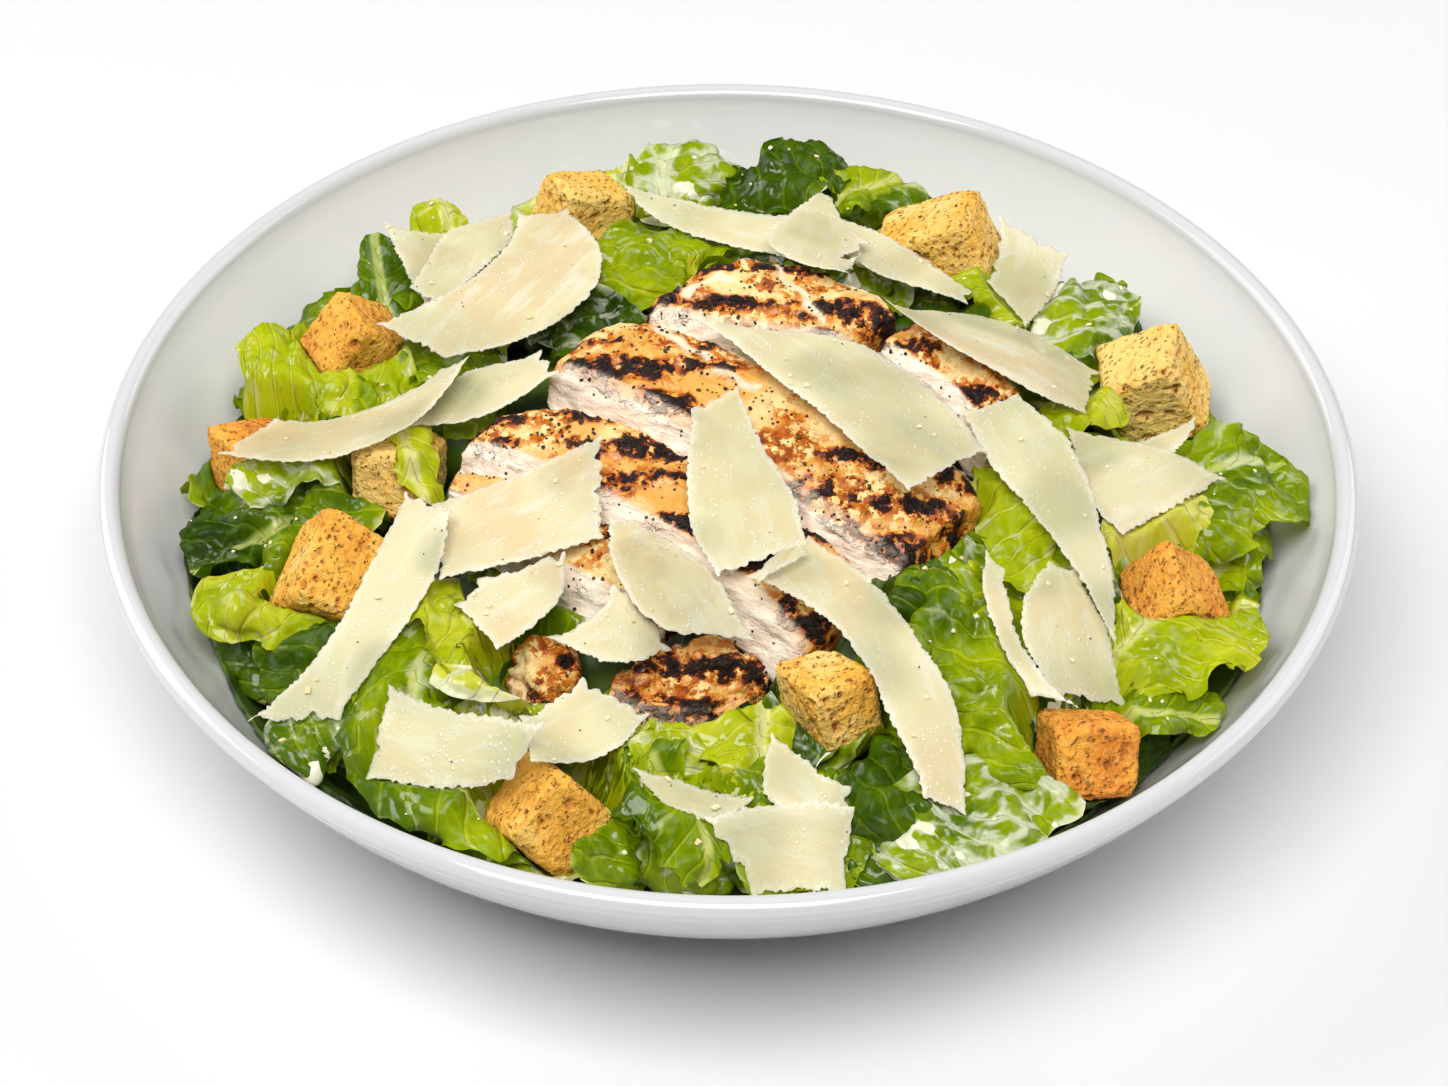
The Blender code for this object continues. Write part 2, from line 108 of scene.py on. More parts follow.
class Wire:
    # an output of a material's node; arithmetic on it adds Math nodes
    def __init__(self, tree, socket=None):
        self.tree = tree
        self.socket = socket

    def node(self, kind, settings, values, out=0):
        made = self.tree.nodes.new("ShaderNode" + kind)
        for key, value in settings.items():
            if key == "stops":
                ramp = made.color_ramp
                ramp.elements.remove(ramp.elements[1])
                ramp.elements[0].position = value[0][0]
                ramp.elements[0].color = value[0][1]
                for place, shade in value[1:]:
                    ramp.elements.new(place).color = shade
            else:
                setattr(made, key, value)
        for key, value in values.items():
            if isinstance(value, Wire):
                self.tree.links.new(value.socket, made.inputs[key])
            else:
                made.inputs[key].default_value = value
        return Wire(self.tree, made.outputs[out])

    def sum(self, operation, *values):
        return self.node("Math", {"operation": operation}, dict(enumerate(values)))

    def __add__(self, other):
        return self.sum("ADD", self, other)

    def __sub__(self, other):
        return self.sum("SUBTRACT", self, other)

    def __rsub__(self, other):
        return self.sum("SUBTRACT", other, self)

    def __mul__(self, other):
        return self.sum("MULTIPLY", self, other)

    __radd__ = __add__
    __rmul__ = __mul__

    def least(self, other):
        return self.sum("MINIMUM", self, other)

    def most(self, other):
        return self.sum("MAXIMUM", self, other)

    def fade(self, low, high):
        return self.node("MapRange", {"interpolation_type": "SMOOTHSTEP"},
                         {"Value": self, "From Min": low, "From Max": high})

    def mix(self, share, first, second):
        return self.node("Mix", {"data_type": "RGBA"}, {0: share, 6: first, 7: second}, 2)

    def stored(self, name, out="Fac"):
        return self.node("Attribute", {"attribute_name": name}, {}, out)

    def coordinates(self, kind="Object"):
        return self.node("TexCoord", {}, {}, kind)

    def part(self, vector, axis):
        return self.node("SeparateXYZ", {}, {0: vector}, axis)

    def noise(self, place, scale, detail=3.0, rough=0.5, warp=0.0):
        return self.node("TexNoise", {}, {"Vector": place, "Scale": scale, "Detail": detail,
                                          "Roughness": rough, "Distortion": warp})

    def ramp(self, share, stops):
        return self.node("ValToRGB", {"stops": stops}, {0: share}, "Color")

    def dots(self, place, scale, feature="F1"):
        return self.node("TexVoronoi", {"feature": feature}, {"Vector": place, "Scale": scale}, "Distance")

    def stretch(self, place, scale):
        return self.node("VectorMath", {"operation": "MULTIPLY"}, {0: place, 1: scale})


def colour(red, green, blue):
    # a screen colour from 0 to 255 as the linear colour that a shader takes
    shares = [c / 255 for c in (red, green, blue)]
    return (*(s / 12.92 if s <= 0.04045 else ((s + 0.055) / 1.055) ** 2.4 for s in shares), 1.0)


def newMaterial(name, **fixed):
    made = bpy.data.materials.new(name)
    made.use_nodes = True
    shader = made.node_tree.nodes["Principled BSDF"]
    for key, value in fixed.items():
        shader.inputs[key.replace("_", " ")].default_value = value
    return made, Wire(made.node_tree), shader


def connect(shader, **wires):
    for key, wire in wires.items():
        wire.tree.links.new(wire.socket, shader.inputs[key.replace("_", " ")])


def bumped(root, height, depth):
    # depth is the height in metres that a full unit of the wire stands for
    return root.node("Bump", {}, {"Strength": 1.0, "Distance": depth, "Height": height}, "Normal")


def named(start):
    # the names of the nodes of one kind
    return sorted(n for n in nodes if n.startswith(start))


def shapeOf(piece):
    # a piece's points in millimetres, and its normals
    mesh = piece.data
    places, normals = np.empty((2, len(mesh.vertices) * 3))
    mesh.vertices.foreach_get("co", places)
    mesh.vertex_normals.foreach_get("vector", normals)
    return places.reshape(-1, 3) / mm, normals.reshape(-1, 3)


def movePoints(piece, points):
    piece.data.vertices.foreach_set("co", (points * mm).ravel())
    piece.data.update()


def linked(name, mesh):
    piece = bpy.data.objects.new(name, mesh)
    bpy.context.scene.collection.objects.link(piece)
    return piece


def newPiece(name, points, faces, material):
    mesh = bpy.data.meshes.new(name)
    faces = np.asarray(faces, np.int32)
    corners = faces.shape[1]
    mesh.vertices.add(len(points))
    mesh.vertices.foreach_set("co", np.asarray(points, float).ravel())
    mesh.loops.add(faces.size)
    mesh.loops.foreach_set("vertex_index", faces.ravel())
    mesh.polygons.add(len(faces))
    mesh.polygons.foreach_set("loop_start", np.arange(len(faces), dtype=np.int32) * corners)
    mesh.update(calc_edges=True)
    mesh.validate()
    mesh.materials.append(material)
    mesh.shade_smooth()
    return linked(name, mesh)


def store(piece, **fields):
    # numbers or vectors for each point, which the material reads by name
    for name, values in fields.items():
        values = np.asarray(values, np.float32)
        kind, part = ("FLOAT_VECTOR", "vector") if values.ndim == 2 else ("FLOAT", "value")
        piece.data.attributes.new(name, kind, "POINT").data.foreach_set(part, values.ravel())


def settle(piece, slot, *stoodFor):
    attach(piece, "root")
    if stoodFor:
        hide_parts(*stoodFor)


def weldedCopy(node):
    # the node's mesh with its split corners joined again
    bm = bmesh.new()
    bm.from_mesh(node.data)
    bmesh.ops.remove_doubles(bm, verts=bm.verts, dist=0.00001)
    bm.normal_update()
    return bm


def remeshed(name, node, voxel, smoothing, material):
    # the node's shape as a new piece with an even, finer mesh
    bm = weldedCopy(node)
    mesh = bpy.data.meshes.new(name)
    bm.to_mesh(mesh)
    bm.free()
    rough = linked(name + "_rough", mesh)
    grid = rough.modifiers.new("grid", "REMESH")
    grid.mode = "VOXEL"
    grid.voxel_size = voxel
    soften = rough.modifiers.new("soften", "SMOOTH")
    soften.factor = 0.5
    soften.iterations = smoothing
    finished = bpy.data.meshes.new_from_object(rough.evaluated_get(bpy.context.evaluated_depsgraph_get()))
    bpy.data.objects.remove(rough, do_unlink=True)
    finished.name = name
    finished.materials.clear()
    finished.materials.append(material)
    finished.shade_smooth()
    return linked(name, finished)


def surfaceTree(pieces):
    # all the pieces' faces as one surface for rays to meet
    points, faces, start = [], [], 0
    for piece in pieces:
        mesh = piece.data
        points += [v.co.copy() for v in mesh.vertices]
        faces += [[start + k for k in p.vertices] for p in mesh.polygons]
        start += len(mesh.vertices)
    return BVHTree.FromPolygons(points, faces)


def meets(tree, x, y, z, way):
    # what a ray straight up (1) or down (-1) meets: the place, the normal and more, all None if nothing
    return tree.ray_cast(Vector((x, y, z)), Vector((0, 0, way)))


def hashed(cell, seed):
    # a steady random number from 0 to 1 for each cell
    n = cell[..., 0] * 374761393 + cell[..., 1] * 668265263 + cell[..., 2] * 1274126177 + seed * 362437
    n = (n ^ (n >> 13)) * 1103515245
    n = (n ^ (n >> 16)) & 0xFFFFF
    return n / 0xFFFFF


def drift(points, size, seed):
    # smooth noise from -1 to 1, with bumps about size across
    place = np.asarray(points) / size
    cell = np.floor(place)
    share = place - cell
    cell = cell.astype(np.int64)
    share = share ** 3 * (share * (share * 6 - 15) + 10)
    total = 0.0
    for corner in itertools.product((0, 1), repeat=3):
        corner = np.array(corner)
        weight = np.where(corner == 1, share, 1 - share).prod(axis=-1)
        total = total + weight * hashed(cell + corner, seed)
    return total * 2 - 1


def roughness(points, size, seed):
    # drift with a finer and weaker drift on it
    return drift(points, size, seed) + 0.5 * drift(points, size / 2, seed + 17)


def cells(points, size, seed):
    # how far the nearest and the second nearest of scattered points are, in sizes,
    # and a number from 0 to 1 that is the nearest one's own
    place = np.asarray(points) / size
    cell = np.floor(place).astype(np.int64)
    near = np.full(place.shape[:-1], 9.0)
    second = near.copy()
    mark = np.zeros(place.shape[:-1])
    for step in itertools.product((-1, 0, 1), repeat=3):
        other = cell + np.array(step)
        spot = other + np.stack([hashed(other, seed + k) for k in range(3)], axis=-1)
        away = np.linalg.norm(place - spot, axis=-1)
        closer = away < near
        second = np.where(closer, near, np.minimum(second, away))
        mark = np.where(closer, hashed(other, seed + 7), mark)
        near = np.where(closer, away, near)
    return near, second, mark


def fade(value, low, high):
    # a soft step, 0 at low and 1 at high
    share = np.clip((np.asarray(value, float) - low) / (high - low), 0, 1)
    return share * share * (3 - 2 * share)


def flat(x, y):
    return np.stack([x, y, np.zeros_like(x)], axis=-1)


# in millimetres, as in the part
bowl = {
    "radius": 130.0,
    "height": 50.0,
    "rimRoll": 2.5,         # the rolled rim's radius
    "footIn": 54.0,
    "footOut": 60.0,
    "footLift": 3.2,        # how far the underside is hollowed
    "footBevel": 1.4,
    "floor": 7.0,
    "outerStart": 63.0,     # where the wall leaves the foot, and how steeply it rises
    "outerLow": 3.5,
    "outerCurve": 2.72,
    "innerStart": 50.0,
    "innerCurve": 3.3,
    "turns": 216,           # faces round it, and up each side of the wall
    "wallSteps": 34,
    "glaze": (colour(222, 222, 223), colour(228, 228, 229)),
    "bareClay": colour(226, 219, 206),
    # painted shade: the glaze on the rim's top is greyer than the rest, so the brightly lit rim does not
    # wash out
    "rim": colour(207, 208, 210),
}


def outerWall(radius):
    share = (radius - bowl["outerStart"]) / (bowl["radius"] - bowl["outerStart"])
    rise = bowl["height"] - bowl["rimRoll"] - bowl["outerLow"]
    return bowl["outerLow"] + rise * np.clip(share, 0, 1) ** bowl["outerCurve"]


def innerWall(radius):
    share = (radius - bowl["innerStart"]) / (bowl["radius"] - 2 * bowl["rimRoll"] - bowl["innerStart"])
    rise = bowl["height"] - bowl["rimRoll"] - bowl["floor"]
    return bowl["floor"] + rise * np.clip(share, 0, 1.2) ** bowl["innerCurve"]


def makeBowl():
    made, root, shader = newMaterial("glaze", IOR=1.5)
    place = root.coordinates()
    cloud = root.noise(place, 22.0, 2.0)
    tint = root.mix(cloud, *bowl["glaze"])
    height = root.part(place, "Z")
    bareFoot = 1 - height.fade(0.0004, 0.0009)
    tint = root.mix(bareFoot, tint, bowl["bareClay"])
    # painted shade: a greyer band over the rim's top, against the light that falls on it
    tint = root.mix(height.fade(0.0465, 0.0495), tint, bowl["rim"])
    connect(shader, Base_Color=tint, Roughness=0.02 + 0.03 * cloud + 0.45 * bareFoot,
            Normal=bumped(root, root.noise(place, 7.0, 1.0), 0.00012))
    middle = bowl["radius"] - bowl["rimRoll"]
    lift = bowl["height"] - bowl["rimRoll"]
    hollow, footIn, footOut = bowl["footLift"], bowl["footIn"], bowl["footOut"]
    underside = [(r, hollow) for r in (0, 20, 40, 51)]
    underside += [(footIn - 2 + bowl["footBevel"] * k / 4, hollow * (1 - (k / 4) ** 1.6)) for k in range(5)]
    foot = [(footIn + 0.3, 0.0), (footOut - 0.6, 0.0), (footOut, 0.5), (footOut + 0.3, 1.6)]
    outside = [(r, float(outerWall(r))) for r in np.linspace(63.2, bowl["radius"], bowl["wallSteps"])]
    turns = np.radians(np.linspace(12, 165, 12))
    rim = [(middle + bowl["rimRoll"] * math.cos(a), lift + bowl["rimRoll"] * math.sin(a)) for a in turns]
    inside = [(r, float(innerWall(r))) for r in np.linspace(124.9, bowl["innerStart"], bowl["wallSteps"])]
    outline = underside + foot + outside + rim + inside + [(30, bowl["floor"]), (0, bowl["floor"])]
    count = bowl["turns"]
    angles = np.linspace(0, math.tau, count, endpoint=False)
    points = [(0, 0, outline[0][1])]
    for radius, z in outline[1:-1]:
        points += [(radius * math.cos(a), radius * math.sin(a), z) for a in angles]
    points.append((0, 0, outline[-1][1]))
    last = len(points) - 1
    faces = []
    for k in range(count):
        n = (k + 1) % count
        faces += [(0, 1 + n, 1 + k), (last, last - count + k, last - count + n)]
    for ring in range(len(outline) - 3):
        for k in range(count):
            n = (k + 1) % count
            a, b = 1 + ring * count + k, 1 + ring * count + n
            faces += [(a, b, b + count), (a, b + count, a + count)]
    piece = newPiece("serving_bowl", np.array(points) * mm, faces, made)
    settle(piece, "glaze", "bowl")
    print("bowl", len(faces), "faces")


cheese = {
    "thickness": 0.8,       # in the middle, in millimetres
    "edgeShare": 0.16,      # how much of that is left at the edge
    "taper": 2.4,           # how far in from the edge it gets thinner
    "spacing": 0.85,        # between mesh points
    "rowGap": 0.866,        # from row to row of points, in spacings
    "jitter": 0.16,         # how far a point strays from its row, in spacings
    "corner": 38,           # a turn of the outline this sharp, in degrees, ends a side
    "tornShare": 0.7,       # a side shorter than this share of the longest is a torn end
    "nick": 0.62,           # fine nicks along a cut side
    "tear": 1.3,            # notches along a torn end
    "wave": 0.34,           # slow and quick unevenness of its face
    "ripple": 0.10,
    "cream": colour(230, 220, 176),
    "pale": colour(238, 233, 206),
    "deep": colour(231, 212, 166),
    # painted see-through: the green of leaves beneath, painted in where a shaving is thin and by an amount
    # of its own
    "green": colour(214, 215, 170),
    "white": colour(255, 252, 238),     # crystals and the rim
    "cover": 0.87,          # how solid a shaving looks, and how much less where it is thin
    "clearer": 0.36,
}


def cheeseMaterial():
    made, root, shader = newMaterial("hard_cheese", IOR=1.45, Coat_Roughness=0.3)
    place = root.stored("shavingPlace", "Vector")
    rim, tone, cloud, thin = (root.stored("shaving" + n) for n in ("Rim", "Tone", "Cloud", "Thin"))
    streak = root.noise(root.stretch(place, (0.3, 1.0, 1.0)), 300.0, 2.0, 0.6, 0.4)
    grain = root.noise(place, 1500.0, 1.0, 0.6)
    base = root.mix(cloud, cheese["cream"], cheese["deep"])
    base = root.mix(streak.fade(0.5, 0.68) * 0.7, base, cheese["pale"])
    # painted see-through: leaf green painted into the thin parts and by each shaving's own amount
    base = root.mix(tone * 0.4 + thin * 0.3, base, cheese["green"])
    crystal = root.dots(place, 850.0)
    dot = (1 - crystal.fade(0.10, 0.34)) * root.stored("shavingPatch")
    white = (rim * (0.35 + 0.5 * grain.fade(0.35, 0.6)) + dot).least(1.0)
    base = root.mix(white, base, cheese["white"])
    height = 0.5 * streak + 0.35 * grain + 0.6 * dot
    connect(shader, Base_Color=base, Roughness=0.44 - 0.10 * cloud + 0.15 * rim, Coat_Weight=0.25 * cloud,
            Alpha=cheese["cover"] - cheese["clearer"] * thin, Normal=bumped(root, height, 0.00026))
    return made


def outlineOf(node):
    # the shaving's top face: its points in the order of its outline, and the ones inside
    bm = weldedCopy(node)
    top = {f for f in bm.faces if f.normal.z > 0.12}
    following = {}
    for face in top:
        for loop in face.loops:
            others = [f for f in loop.edge.link_faces if f in top and f is not face]
            if not others:
                following[loop.vert.index] = loop.link_loop_next.vert.index
    start = min(following)
    order, here = [start], following[start]
    while here != start:
        order.append(here)
        here = following[here]
    bm.verts.ensure_lookup_table()
    around = np.array([bm.verts[k].co for k in order])
    every = np.array([v.co for v in {v for f in top for v in f.verts}])
    bm.free()
    return around, every


def curveThrough(points, spacing):
    # a smooth run through the points, with a point every so often
    points = np.asarray(points)
    before = np.vstack([2 * points[0] - points[1], points, 2 * points[-1] - points[-2]])
    run = []
    for k in range(len(points) - 1):
        a, b, c, d = before[k:k + 4]
        first, length, last = (max(np.linalg.norm(q - p), 1e-6) for p, q in ((a, b), (b, c), (c, d)))
        leaving = (c - a) / (first + length) * length
        arriving = (d - b) / (length + last) * length
        count = max(1, int(round(length / spacing)))
        for u in np.arange(count) / count:
            run.append(b * (1 - u) ** 2 * (1 + 2 * u) + leaving * u * (1 - u) ** 2
                       + c * u * u * (3 - 2 * u) - arriving * u * u * (1 - u))
    return np.array(run)


def insideOutline(points, outline):
    x, y = points[:, 0:1], points[:, 1:2]
    ax, ay = outline[:, 0], outline[:, 1]
    bx, by = np.roll(ax, -1), np.roll(ay, -1)
    crosses = ((ay > y) != (by > y)) & (x < (bx - ax) * (y - ay) / np.where(by == ay, 1e-9, by - ay) + ax)
    return crosses.sum(axis=1) % 2 == 1


def edgeDistance(points, outline):
    a, b = outline, np.roll(outline, -1, axis=0)
    run = b - a
    length = np.maximum((run ** 2).sum(axis=1), 1e-12)
    offset = points[:, None, :] - a[None]
    share = np.clip((offset * run[None]).sum(axis=2) / length, 0, 1)
    return np.linalg.norm(offset - share[..., None] * run[None], axis=2).min(axis=1)


def raggedOutline(around, seed):
    # torn ends get deeper notches than the long cut sides; around is in millimetres
    step = np.roll(around, -1, axis=0) - around
    heading = np.arctan2(step[:, 1], step[:, 0])
    turn = np.abs((heading - np.roll(heading, 1) + math.pi) % math.tau - math.pi)
    corners = [k for k in range(len(around)) if turn[k] > math.radians(cheese["corner"])]
    if len(corners) < 2:
        corners = [0, len(around) // 2]
    runs = []
    for k, here in enumerate(corners):
        there = corners[(k + 1) % len(corners)]
        count = (there - here) % len(around)
        runs.append(around[[(here + n) % len(around) for n in range(count + 1)], :2])
    lengths = [np.linalg.norm(np.diff(run, axis=0), axis=1).sum() for run in runs]
    result = []
    for run, length in zip(runs, lengths):
        path = curveThrough(run, 0.5)
        ahead = np.roll(path, -1, axis=0) - path
        ahead[-1] = ahead[-2] if len(ahead) > 1 else run[1] - run[0]
        side = np.stack([-ahead[:, 1], ahead[:, 0]], axis=1)
        side /= np.maximum(np.linalg.norm(side, axis=1, keepdims=True), 1e-9)
        torn = length < cheese["tornShare"] * max(lengths)
        spots = flat(path[:, 0], path[:, 1])
        fine = np.abs(drift(spots, 0.9, seed)) + 0.6 * np.abs(drift(spots, 0.45, seed + 3))
        deep = np.clip(drift(spots, 2.6, seed + 5), 0, 1) + 0.6 * np.clip(drift(spots, 1.3, seed + 6), 0, 1)
        depth = cheese["nick"] * fine + cheese["tear"] * deep * (1.0 if torn else 0.2)
        reach = np.linalg.norm(np.diff(path, axis=0, prepend=path[:1]), axis=1).cumsum()
        ends = fade(np.minimum(reach, reach[-1] - reach), 0.0, 2.0)
        result.append(path + side * (depth * ends)[:, None])
    return np.vstack(result)


def makeShaving(nodeName, seed, material):
    # a thin sheet on a smooth surface through the node's top face
    around, every = (points / mm for points in outlineOf(nodes[nodeName]))
    middle = every.mean(axis=0)
    spread = np.linalg.eigh(np.cov((every - middle)[:, :2].T))[1]
    along, across = spread[:, 1], spread[:, 0]
    reach = np.abs((every - middle)[:, :2] @ along).max()

    def terms(points):
        u = (points[:, :2] - middle[:2]) @ along / reach
        v = (points[:, :2] - middle[:2]) @ across / reach
        return np.stack([u ** 0, u, u ** 2, u ** 3, u ** 4, v, u * v, u * u * v, v * v, u * v * v], axis=1)

    # the smooth surface that lies best through the node's points, held back from bending too fast
    rows = terms(every)
    steady = np.diag([0, 0, 0, 1, 1, 0, 0, 1, 1, 4]) * 0.02
    shape = np.linalg.solve(rows.T @ rows + steady, rows.T @ every[:, 2])
    # the plan: the ragged outline and rows of points inside it, joined into triangles
    outline = raggedOutline(around, seed)
    low, high = outline.min(axis=0), outline.max(axis=0)
    step = cheese["spacing"]
    rng = np.random.default_rng(seed)
    grid = [(x + (step / 2 if row % 2 else 0), y)
            for row, y in enumerate(np.arange(low[1], high[1], step * cheese["rowGap"]))
            for x in np.arange(low[0], high[0], step)]
    grid = np.array(grid) + rng.uniform(-cheese["jitter"], cheese["jitter"], (len(grid), 2)) * step
    grid = grid[insideOutline(grid, outline)]
    grid = grid[edgeDistance(grid, outline) > 0.5 * step]
    plan = np.vstack([outline, grid])
    count = len(outline)
    ring = [(k, (k + 1) % count) for k in range(count)]
    made = delaunay_2d_cdt([Vector(p) for p in plan], ring, [], 1, 0.00001)
    plan = np.array([tuple(p) for p in made[0]])
    triangles = np.array(made[2])
    # the thickness, which runs out towards the edge, and the two faces
    edge = edgeDistance(plan, outline)
    spots = flat(plan @ along, plan @ across)
    streaked = drift(spots * (0.3, 1.0, 1.0), 1.5, seed + 9)
    relief = cheese["wave"] * drift(spots, 12.0, seed + 1) + cheese["ripple"] * drift(spots, 4.0, seed + 21)
    relief = relief + 0.035 * streaked + 0.02 * drift(spots, 1.0, seed + 2)
    full = cheese["thickness"] * (1 + 0.12 * drift(spots, 9.0, seed + 4))
    thick = full * (cheese["edgeShare"] + (1 - cheese["edgeShare"]) * fade(edge, 0, cheese["taper"]))
    surface = terms(plan) @ shape
    over = surface - (full - thick) * 0.5 + relief
    under = over - thick
    points = np.vstack([np.column_stack([plan, over]), np.column_stack([plan, under])])
    total = len(plan)
    a, b, c = (plan[triangles[:, k]] for k in range(3))
    triangles = np.where((np.cross(b - a, c - a) > 0)[:, None], triangles, triangles[:, ::-1])
    sides = dict.fromkeys((t[k], t[(k + 1) % 3]) for t in triangles for k in range(3))
    walls = []
    for a, b in sides:
        if (b, a) not in sides:     # a side with a triangle on one hand only
            walls += [(a, a + total, b + total), (a, b + total, b)]
    faces = np.vstack([triangles, triangles[:, ::-1] + total, np.array(walls)])
    piece = newPiece(nodeName.replace("shaving", "cheese"), points * mm, faces, material)
    smooth = np.arange(len(piece.data.polygons)) < 2 * len(triangles)
    piece.data.polygons.foreach_set("use_smooth", smooth)
    both = np.tile(np.column_stack([plan @ along, plan @ across]), (2, 1))
    ownPlace = np.full(2 * total, seed * 13.7)      # so that no two shavings share a pattern
    # how much painted leaf green, standing for leaves seen through, this shaving takes
    paintedLeafGreen = rng.uniform()
    towardEnd = (plan - middle[:2]) @ along / reach * rng.choice((-1, 1))
    thin = np.maximum(fade(drift(spots, 13.0, seed + 30), -0.3, 0.8), 0.9 * fade(towardEnd, 0.2, 0.95))
    store(
        piece,
        shavingPlace=np.column_stack([both, ownPlace]) * mm,
        shavingRim=np.tile(np.exp(-edge / 0.55), 2),
        shavingTone=np.full(2 * total, paintedLeafGreen),
        shavingThin=np.tile(thin, 2),
        shavingCloud=np.tile(fade(roughness(spots, 9.0, seed + 31), -0.35, 0.5), 2),
        shavingPatch=np.tile(fade(drift(spots, 4.5, seed + 32), -0.15, 0.35), 2),
    )
    settle(piece, "cheese", nodeName)
    return piece


toast = {
    "voxel": 0.52,          # mesh spacing in millimetres
    "bigPores": 3.0,        # from one pore to the next, for each size of pore
    "middlingPores": 1.7,
    "smallPores": 1.0,
    "chip": 1.1,            # how deep the edges are chipped
    "golden": colour(250, 184, 62),
    "pale": colour(252, 218, 132),
    "brown": colour(222, 128, 24),
    "dark": colour(150, 74, 16),
    # painted shade: the darker colour inside the pores and pits, where shade falls
    "pore": colour(176, 100, 32),
    "yellow": colour(244, 194, 84),
}

# how far each crouton is toasted, how yellow it is and how open its crumb is
# front_middle and right_upper are set paler than they look toasted, painted light for the light that their
# front faces lack
croutonTones = {
    "back_left": (0.12, 1.2, 0.9), "back_right": (0.20, 0.4, 1.0), "left_upper": (0.55, 0.4, 1.0),
    "right_upper": (-0.05, 0.7, 1.0), "left_lower": (0.45, 0.2, 1.0), "right_lower": (0.66, 0.5, 0.9),
    "front_right": (0.78, 0.2, 0.9), "front_middle": (0.22, 0.2, 1.0), "front_left": (0.40, 0.7, 0.7),
    "left_edge": (0.65, 0.1, 0.3), "left_soaked": (0.05, 0.8, 0.5),
}


def croutonMaterial():
    made, root, shader = newMaterial("toasted_bread", IOR=1.45)
    place = root.coordinates()
    names = ("Toast", "Yellow", "Edge", "Pit", "Cloud")
    toasted, yellow, edge, paintedPitShade, cloud = (root.stored("bread" + n) for n in names)
    mottle = root.noise(place, 480.0, 2.0, 0.6)
    crumb = root.noise(place, 1500.0, 2.0, 0.65)
    warped = root.node("VectorMath", {"operation": "ADD"}, {0: place, 1: crumb * 0.0016})
    pore = root.dots(warped, 820.0)
    hole = (1 - pore.fade(0.10, 0.38)) * mottle.fade(0.40, 0.54)
    level = 0.7 * toasted + 0.45 * cloud + 0.5 * mottle - 0.36 + 0.75 * edge * mottle.fade(0.3, 0.6)
    stops = [(0.1, toast["pale"]), (0.36, toast["golden"]), (0.70, toast["brown"]), (1.0, toast["dark"])]
    base = root.ramp(level, stops)
    base = root.mix(yellow * 0.45, base, toast["yellow"])
    base = root.mix(crumb.fade(0.52, 0.70) * 0.5, base, toast["pale"])
    # painted shade in the pores and pits
    hollow = (paintedPitShade * 0.9 + hole * 0.75).least(1.0)
    base = root.mix(hollow, base, toast["pore"])
    connect(shader, Base_Color=base, Roughness=0.72 - 0.22 * edge * cloud,
            Normal=bumped(root, 0.6 * mottle + 0.7 * crumb - 1.0 * hole, 0.0007))
    return made


def boxAxes(node):
    # the three directions of a roughly cubic node, from its largest faces
    bm = weldedCopy(node)
    found = []
    for face in sorted(bm.faces, key=lambda f: -f.calc_area()):
        normal = np.array(face.normal)
        if all(abs(normal @ other) < 0.5 for other in found):
            found.append(normal)
        if len(found) == 2:
            break
    bm.free()
    first = found[0]
    second = found[1] - first * (found[1] @ first)
    second /= np.linalg.norm(second)
    return np.stack([first, second, np.cross(first, second)])


def makeCrouton(nodeName, seed, material):
    axes = boxAxes(nodes[nodeName])
    rng = np.random.default_rng(seed)
    piece = remeshed(nodeName.replace("crouton", "toast"), nodes[nodeName], toast["voxel"] * mm, 1, material)
    points, normals = shapeOf(piece)
    low, high = points.min(axis=0), points.max(axis=0)
    local = (points - (low + high) / 2) @ axes.T
    half = np.abs(local).max(axis=0)
    nearness = np.sort(np.abs(local) / half, axis=1)
    edge = fade(nearness[:, 1], 0.84, 0.99)
    toasted, yellow, openness = croutonTones[nodeName.removeprefix("crouton_")]
    lumps = 0.16 * drift(points, 8.0, seed) + 0.10 * drift(points, 3.0, seed + 1)
    chipped = edge * np.clip(drift(points, 2.4, seed + 2) - 0.05, 0, 1) * toast["chip"]
    squeezed = points * rng.uniform(0.75, 1.1, 3)       # pores are longer one way
    near, _, mark = cells(squeezed, toast["bigPores"], seed + 3)
    pitSize = 0.16 + 0.30 * mark ** 2
    big = np.clip(1 - near / pitSize, 0, 1) ** 0.5 * (mark > 0.62)
    near, _, mark = cells(squeezed, toast["middlingPores"], seed + 4)
    middling = np.clip(1 - near / (0.20 + 0.22 * mark), 0, 1) ** 0.6 * (mark > 0.5)
    near, _, mark = cells(points, toast["smallPores"], seed + 14)
    small = np.clip(1 - near / 0.42, 0, 1) ** 0.8 * (mark > 0.4)
    pits = openness * (1.3 * big + 0.9 * middling + 0.3 * small) * (1 - 0.55 * edge)
    grain = 0.16 * roughness(points, 1.0, seed + 5)
    corner = 1.2 * fade(nearness[:, 1], 0.84, 0.98)     # gives back what the remesh rounded off
    moved = points + normals * (lumps + corner - chipped - pits + grain - 0.3)[:, None]
    movePoints(piece, moved)
    store(
        piece,
        breadEdge=edge,
        # where the pores and pits are, which the material paints darker as painted shade
        breadPit=np.clip(openness * (0.9 * big + 0.75 * middling + 0.35 * small), 0, 1),
        breadToast=toasted + 0.25 * drift(points, 9.0, seed + 6),
        breadYellow=np.full(len(points), yellow),
        breadCloud=0.5 + 0.34 * roughness(points, 7.5, seed + 7),
    )
    settle(piece, "crouton", nodeName)
    return piece


